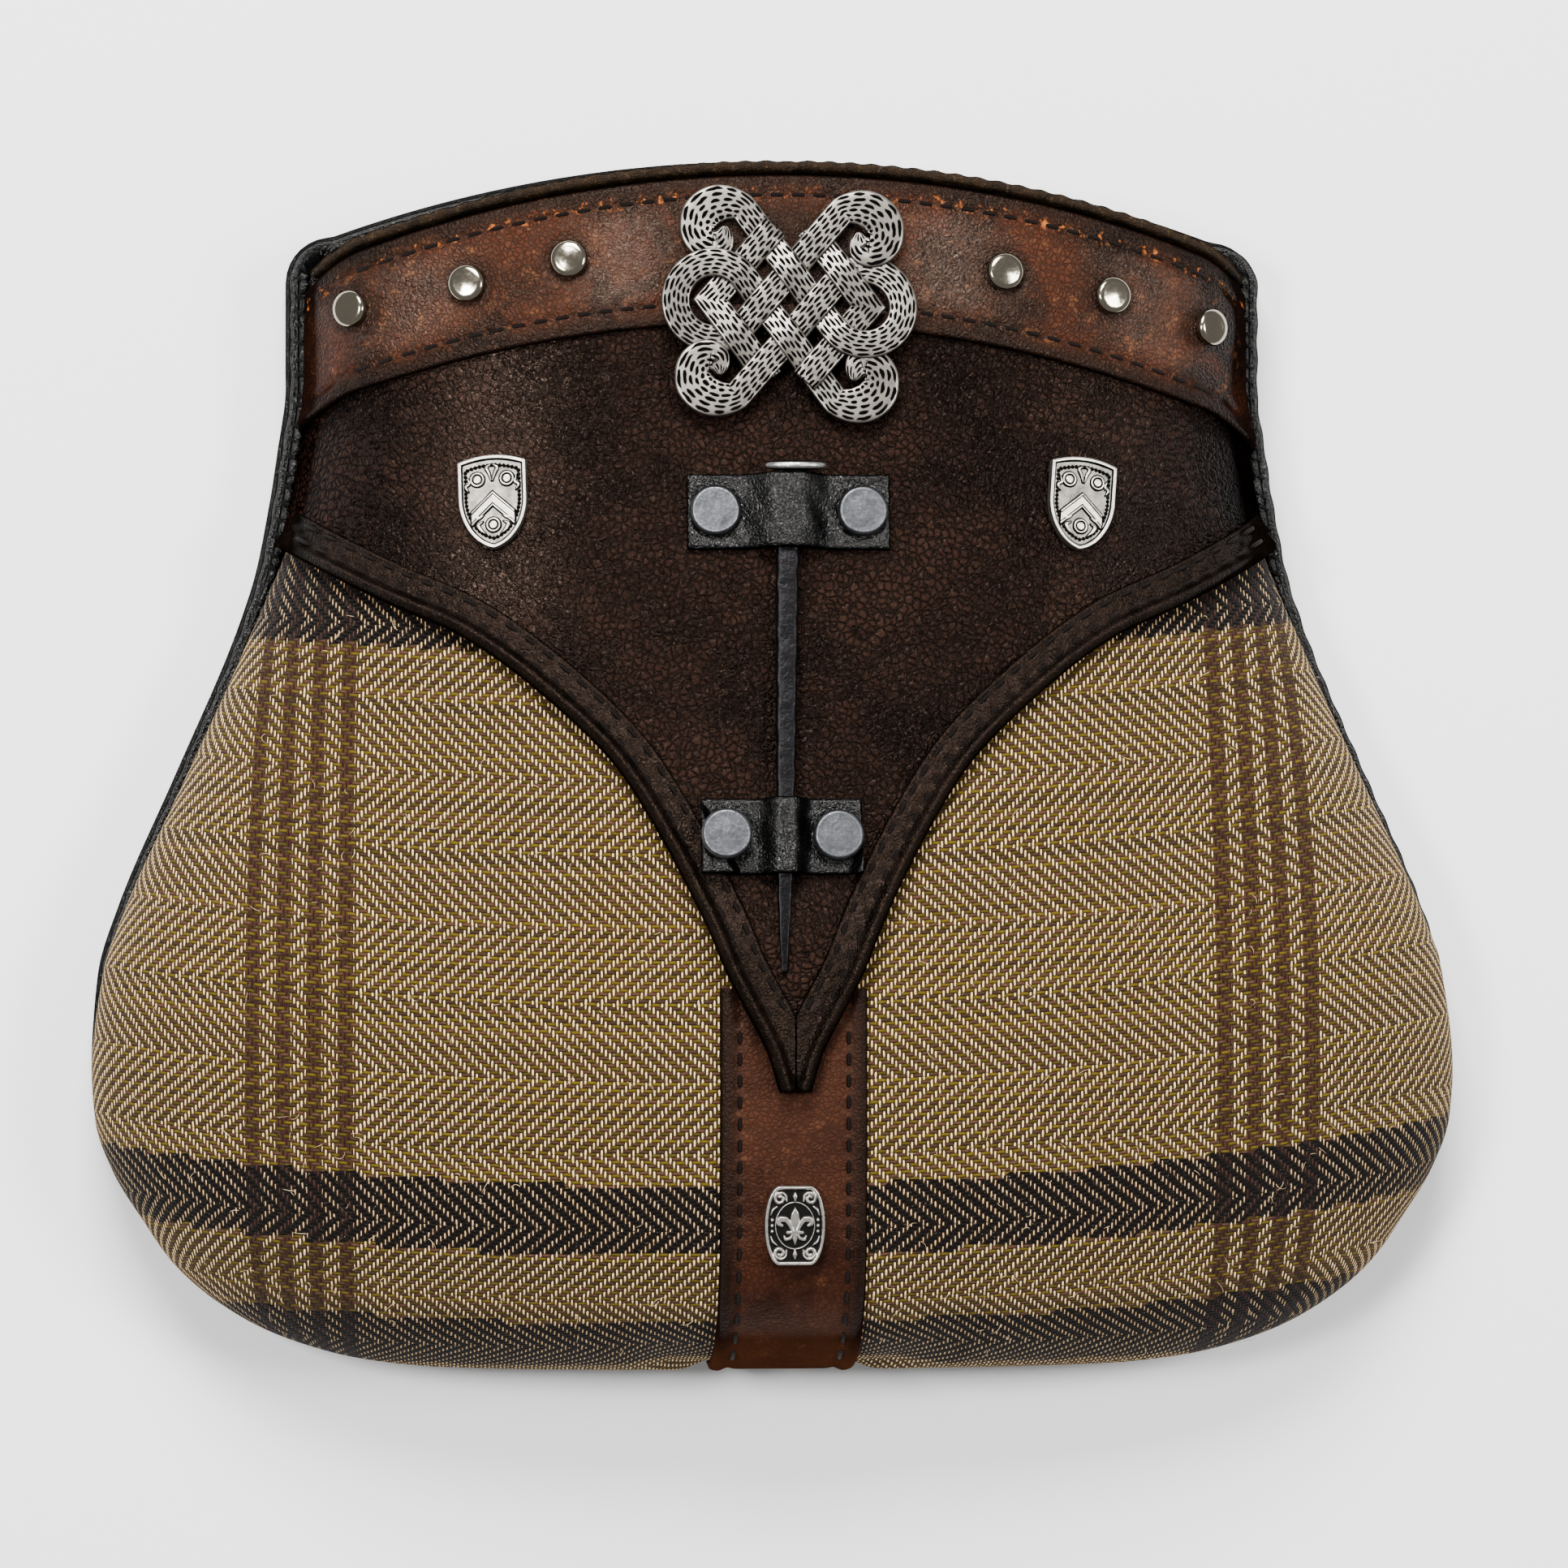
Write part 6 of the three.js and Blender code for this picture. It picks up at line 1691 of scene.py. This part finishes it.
# %% Lily badge
LILY_WIDTH = 10.9
LILY_HEIGHT = 14.3
LILY_THICKNESS = 1.4
LILY_RELIEF = 0.5
LILY_UP = YOKE_POINT_UP - 23.9


def barrel_outline():
    """Flat ends and bowed sides."""
    w, h = LILY_WIDTH / 2, LILY_HEIGHT / 2
    right = np.concatenate([
        bezier((0, -h), (w * 0.5, -h)), bezier((w * 0.5, -h), (w * 0.8, -h), (w, -h * 0.5), (w, 0)),
        bezier((w, 0), (w, h * 0.5), (w * 0.8, h), (w * 0.5, h)), bezier((w * 0.5, h), (0, h))])
    return even_outline(mirrored(right), 280)


def lily_strokes(x, y):
    """Distance to the lily: a middle petal, two curled ones, a cross bar, a drop and two tails."""
    x = np.abs(x)
    parts = [
        stroke(x, y, [(0, 3.3), (0, 1.6), (0, 0.2), (0, -1.0)], [0.05, 0.75, 0.85, 0.4, 0.3]),
        stroke(x, y, [(0.4, -1.0), (0.95, 0.1), (1.75, 1.15), (2.65, 1.2), (2.95, 0.4), (2.4, 0.05)],
               [0.3, 0.38, 0.5, 0.5, 0.4, 0.3]),
        stroke(x, y, [(0, -1.25), (1.35, -1.25)], [0.32, 0.32]),
        stroke(x, y, [(0, -1.5), (0, -2.4), (0, -3.4)], [0.3, 0.45, 0.1]),
        stroke(x, y, [(0.35, -1.5), (0.95, -2.3), (1.7, -2.5), (2.0, -1.9)], [0.25, 0.32, 0.3, 0.18]),
    ]
    return np.min(parts, 0)


def scroll_strokes(x, y):
    """Distance to a spiral in each corner, with a leaf between each pair and three beads at each side."""
    x, y = np.abs(x), np.abs(y)
    turn = np.linspace(0, 1, 12)
    angle = np.radians(200 - 500 * turn)
    radius = 1.3 - 0.95 * turn
    spiral = np.stack([2.75 + radius * np.cos(angle), 4.95 + radius * np.sin(angle)], -1)
    parts = [
        stroke(x, y, spiral, [0.16, 0.3, 0.28, 0.24]),
        stroke(x, y, [(0, 4.3), (0, 5.3), (0, 5.95)], [0.1, 0.42, 0.15]),
        stroke(x, y, [(3.3, 3.5), (4.05, 2.9), (4.4, 2.0)], [0.12, 0.24, 0.12]),
    ]
    for bead_y in (0.0, 1.05):
        parts.append(np.hypot(x - 4.2 + 0.03 * bead_y, y - bead_y) - 0.3)
    return np.min(parts, 0)


def lily_badge():
    """Cast plate with a rim, a fine oval line, the lily and its scrolls."""
    outline = barrel_outline()

    def relief(x, y):
        rim = raised(edge_distance(x, y, outline) - 0.55)
        oval = raised(np.abs(np.hypot(x / 3.55, y / 4.25) - 1) * 3.6 - 0.1, 0.1) * 0.5
        figures = raised(np.minimum(lily_strokes(x, y), scroll_strokes(x, y)), 0.14)
        high = np.max([rim, oval, figures], 0)
        return LILY_RELIEF * high, np.clip(0.95 - high * 1.1, 0, 1)
    where = seat(0, LILY_UP, LILY_WIDTH / 2, LILY_HEIGHT / 2, leather_top)
    add_plate("lily_badge_cast", outline, np.linspace(0.015, 1, 90), LILY_THICKNESS, relief,
              LILY_SILVER, "lily_badge", seated(where))


lily_badge()

# %% [markdown]
# The knot brooch is woven from four strands: two long ones that curl at both ends and loop round a
# side, and two short ones bent once. A strand is its centre line, a height that goes over and under
# at the crossings, and a flat section with rounded edges.

# %% Knot brooch
SLANT = np.radians(51.5)
INNER_LINE = 3.85
OUTER_LINE = 11.3
LOOP_EYE = 13.9
CURL_EYE = np.array([-14.1, 13.7])
STRAND_WIDTH = 5.2
STRAND_THICKNESS = 1.5
STRAND_WEAVE = 0.55
STRAND_SIDES = 18
KNOT_LEAN = -2.3
FIRST_RADIUS = INNER_LINE - CURL_EYE[0] * np.sin(SLANT) - CURL_EYE[1] * np.cos(SLANT)
LOOP_RADIUS = LOOP_EYE * np.sin(SLANT) - INNER_LINE

CURL = np.array([
    # turn in degrees round the eye, share of the first radius, share of the strand's width
    (0, 1, 1), (22, 0.825, 1.2), (50, 0.676, 1.36), (97, 0.542, 1.39), (142, 0.495, 1.3), (187, 0.495, 1.3),
    (222, 0.487, 1.27), (247, 0.448, 1.16), (267, 0.377, 0.91), (292, 0.307, 0.61), (312, 0.283, 0.36),
    (325, 0.283, 0.14),
])


def crossing(a, b):
    """Where the falling line at distance a from the middle meets the rising line at distance b."""
    return np.array([(a + b) / (2 * np.sin(SLANT)), (a - b) / (2 * np.cos(SLANT))])


def even_line(points, step=0.28):
    """Open line resampled at even lengths, with the length at each point."""
    length = length_along(points)
    s = np.linspace(0, length[-1], int(length[-1] / step))
    return np.stack([np.interp(s, length, points[:, k]) for k in range(2)], -1), s


def woven(line, s, keys):
    """Height along a strand: keys are rows of (point, over or under, first share, last share)."""
    rows = [(0, 0), (s[-1], 0)]
    for point, over, first, last in keys:
        far = np.hypot(*(line - point).T) + 1e3 * ((s < first * s[-1]) | (s > last * s[-1]))
        rows.append((s[np.argmin(far)], over))
    return steady_curve(np.array(sorted(rows)), s)


def long_strand():
    """Curl, falling line, loop round the right side, rising line and the curl below."""
    turn = np.linspace(CURL[-1, 0], 0, 160)
    radius = FIRST_RADIUS * steady_curve(CURL[:, :2], turn)
    swell = steady_curve(CURL[:, ::2], turn)
    angle = np.pi / 2 - SLANT + np.radians(turn)
    curl = CURL_EYE + np.stack([radius * np.cos(angle), radius * np.sin(angle)], -1)
    sweep = np.pi / 2 + SLANT
    bend = np.linspace(-sweep, sweep, 160)
    loop = np.stack([LOOP_EYE + LOOP_RADIUS * np.cos(bend), LOOP_RADIUS * np.sin(bend)], -1)
    whole = np.concatenate([curl, loop, (curl * [1, -1])[::-1]])
    line, s = even_line(whole)
    swell = np.concatenate([swell, np.ones(len(loop)), swell[::-1]])
    length = length_along(whole)
    i, o = INNER_LINE, OUTER_LINE
    keys = [(crossing(i, -o), -1, 0, 0.5), (crossing(i, -i), 1, 0, 0.5), (crossing(i, i), -1, 0, 0.5),
            (crossing(i, o), 1, 0, 0.5), (crossing(o, i), -1, 0.5, 1), (crossing(i, i), 1, 0.5, 1),
            (crossing(-i, i), -1, 0.5, 1), (crossing(-o, i), 1, 0.5, 1)]
    along = unit(np.gradient(line, axis=0))
    across = np.stack([-along[:, 1], along[:, 0]], -1)
    return line, s, across * np.interp(s, length, swell)[:, None], woven(line, s, keys)


def short_strand():
    """Two straight legs that meet in a mitred corner; near it the section turns towards the mitre."""
    i, o = INNER_LINE, OUTER_LINE
    start, corner, end = crossing(-o, i), crossing(-o, -o), crossing(i, -o)
    reach = STRAND_WIDTH * 0.5
    legs = []
    mitre = np.pi / 2 - SLANT
    for tip, sign in ((start, -1), (end, 1)):
        way = unit(tip - corner)
        t = np.linspace(0, np.linalg.norm(tip - corner) + reach, 60)
        slope = mitre * np.clip(1 - t / 2.6, 0, 1)
        side = np.array([-way[1], way[0]]) * sign
        across = side[None] - way[None] * np.tan(slope)[:, None]
        legs.append((corner + way * t[:, None], t, across))
    (line_a, t_a, side_a), (line_b, t_b, side_b) = legs
    line = np.concatenate([line_a[::-1], line_b[1:]])
    s = np.concatenate([t_a[-1] - t_a[::-1], t_a[-1] + t_b[1:]])
    across = np.concatenate([side_a[::-1], side_b[1:]])
    keys = [(crossing(-o, i), -1, 0, 0.5), (crossing(-o, -i), 1, 0, 0.5), (corner, 0, 0, 1),
            (crossing(-i, -o), -1, 0.5, 1), (crossing(i, -o), 1, 0.5, 1)]
    return line, s, across, woven(line, s, keys)


def knot():
    """Both strands and their copies turned half round, as skins in one mesh."""
    turn = around(STRAND_SIDES)
    a, high = bent(np.cos(turn), 0.34), np.sin(turn)
    b = np.where(high > 0, bent(high, 0.3), bent(high, 0.35)) / 2
    points, faces, uvs, oxide_and_shade = [], [], [], []
    base = 0
    for line, s, across, over in (long_strand(), short_strand()):
        middle = STRAND_WEAVE * (1 + over) + STRAND_THICKNESS / 2
        flat = line[:, None] + across[:, None] * (a * STRAND_WIDTH / 2)[None, :, None]
        z = middle[:, None] + b * STRAND_THICKNESS
        uv = np.stack(np.broadcast_arrays(a * STRAND_WIDTH / 2, s[:, None]), -1)
        # Oxide and painted shade: the strand darkens down its flanks to its underside, and more where it
        # passes under another strand.
        low = np.clip(0.95 - 1.3 * (b + 0.5), 0, 0.9) + 0.4 * np.clip(-over, 0, 1)[:, None] ** 4
        for sign in (1, -1):
            skin = np.concatenate([flat * sign, z[..., None]], -1)
            points.append(skin.reshape(-1, 3))
            faces += [np.asarray(f)[::-1] + base for f in tube_faces(len(line), STRAND_SIDES)]
            uvs.append(uv.reshape(-1, 2))
            oxide_and_shade.append(low.ravel())
            base += len(line) * STRAND_SIDES
    half_across = LOOP_EYE + LOOP_RADIUS + STRAND_WIDTH / 2
    where = seat(0, KNOT_UP, half_across, CURL_EYE[1] + FIRST_RADIUS, leather_top)
    points = seated(where, KNOT_LEAN)(np.concatenate(points))
    add_mesh("knot_brooch_cast", points, faces, KNOT_SILVER, "knot_brooch",
             uv=np.concatenate(uvs), values={"patina_and_shade": np.concatenate(oxide_and_shade)})


knot()

# %% [markdown]
# The floor and the light are plain. One wide soft lamp stands beyond the mouth, so that the pouch
# throws a soft shadow under its bottom edge, and two smaller ones hang to the left and right, whose
# gleams run down both sides of the dome. The camera looks down, a little from the left.

# %% Stage
FLOOR_HALF = 3.0
SKY_STRENGTH = 0.36
LAMPS = {
    # place in metres, size in metres, power in watts
    "lamp_beyond_mouth": ((-0.15, 0.95, 1.1), 0.6, 51),
    "lamp_left": ((-0.55, 0.12, 1.15), 0.25, 16),
    "lamp_right": ((0.8, 0.16, 1.15), 0.35, 16),
}


def stage():
    """Pale floor and pale sky."""
    material, w, shader, place = new_material("pale floor")
    tint = w.mix(w.noise(place, 3.0), colour(246, 246, 246), colour(250, 250, 250))
    w.settle(shader, Base_Color=tint, Roughness=0.9)
    mesh = bpy.data.meshes.new("floor")
    corners = [(x * FLOOR_HALF, y * FLOOR_HALF, 0) for x, y in ((-1, -1), (1, -1), (1, 1), (-1, 1))]
    mesh.from_pydata(corners, [], [(0, 1, 2, 3)])
    mesh.materials.append(material)
    floor = bpy.data.objects.new("floor", mesh)
    bpy.context.collection.objects.link(floor)
    world = bpy.data.worlds.new("pale sky")
    world.use_nodes = True
    sky = world.node_tree.nodes["Background"]
    sky.inputs["Color"].default_value = (1, 1, 1, 1)
    sky.inputs["Strength"].default_value = SKY_STRENGTH
    bpy.context.scene.world = world


def lamp(name, place, size, power):
    """Square soft lamp at a place, turned towards the middle of the floor."""
    data = bpy.data.lights.new(name, "AREA")
    data.size = size
    data.energy = power
    made = bpy.data.objects.new(name, data)
    made.location = place
    made.rotation_euler = (-Vector(place)).to_track_quat("-Z", "Y").to_euler()
    bpy.context.collection.objects.link(made)
    print(name, power, "W")


stage()
for name, settings in LAMPS.items():
    lamp(name, *settings)

# %% [markdown]
# The camera has a long lens, so that the far and the near parts look equally large.

# %% Camera
FRAME_MM = 289.8
AIM_UP = 109.5
AIM_ACROSS = -0.15
AIM_Z = 34
CAMERA_FROM = 1300
LEAN = np.radians(4.5)
SENSOR_MM = 36


def camera():
    """Long lens over the pouch, leaning a little to the left, that sees FRAME_MM across at AIM_Z."""
    data = bpy.data.cameras.new("camera")
    made = bpy.data.objects.new("camera", data)
    aim = np.array([AIM_ACROSS, AIM_UP + BOTTOM_Y, AIM_Z])
    eye = aim + CAMERA_FROM * np.array([-np.sin(LEAN), 0, np.cos(LEAN)])
    made.location = Vector(eye * MM)
    made.rotation_euler = (0, -LEAN, 0)
    data.sensor_width = SENSOR_MM
    data.lens = SENSOR_MM * CAMERA_FROM / FRAME_MM
    bpy.context.collection.objects.link(made)
    bpy.context.scene.camera = made
    print("camera", data.lens, "mm lens")


camera()
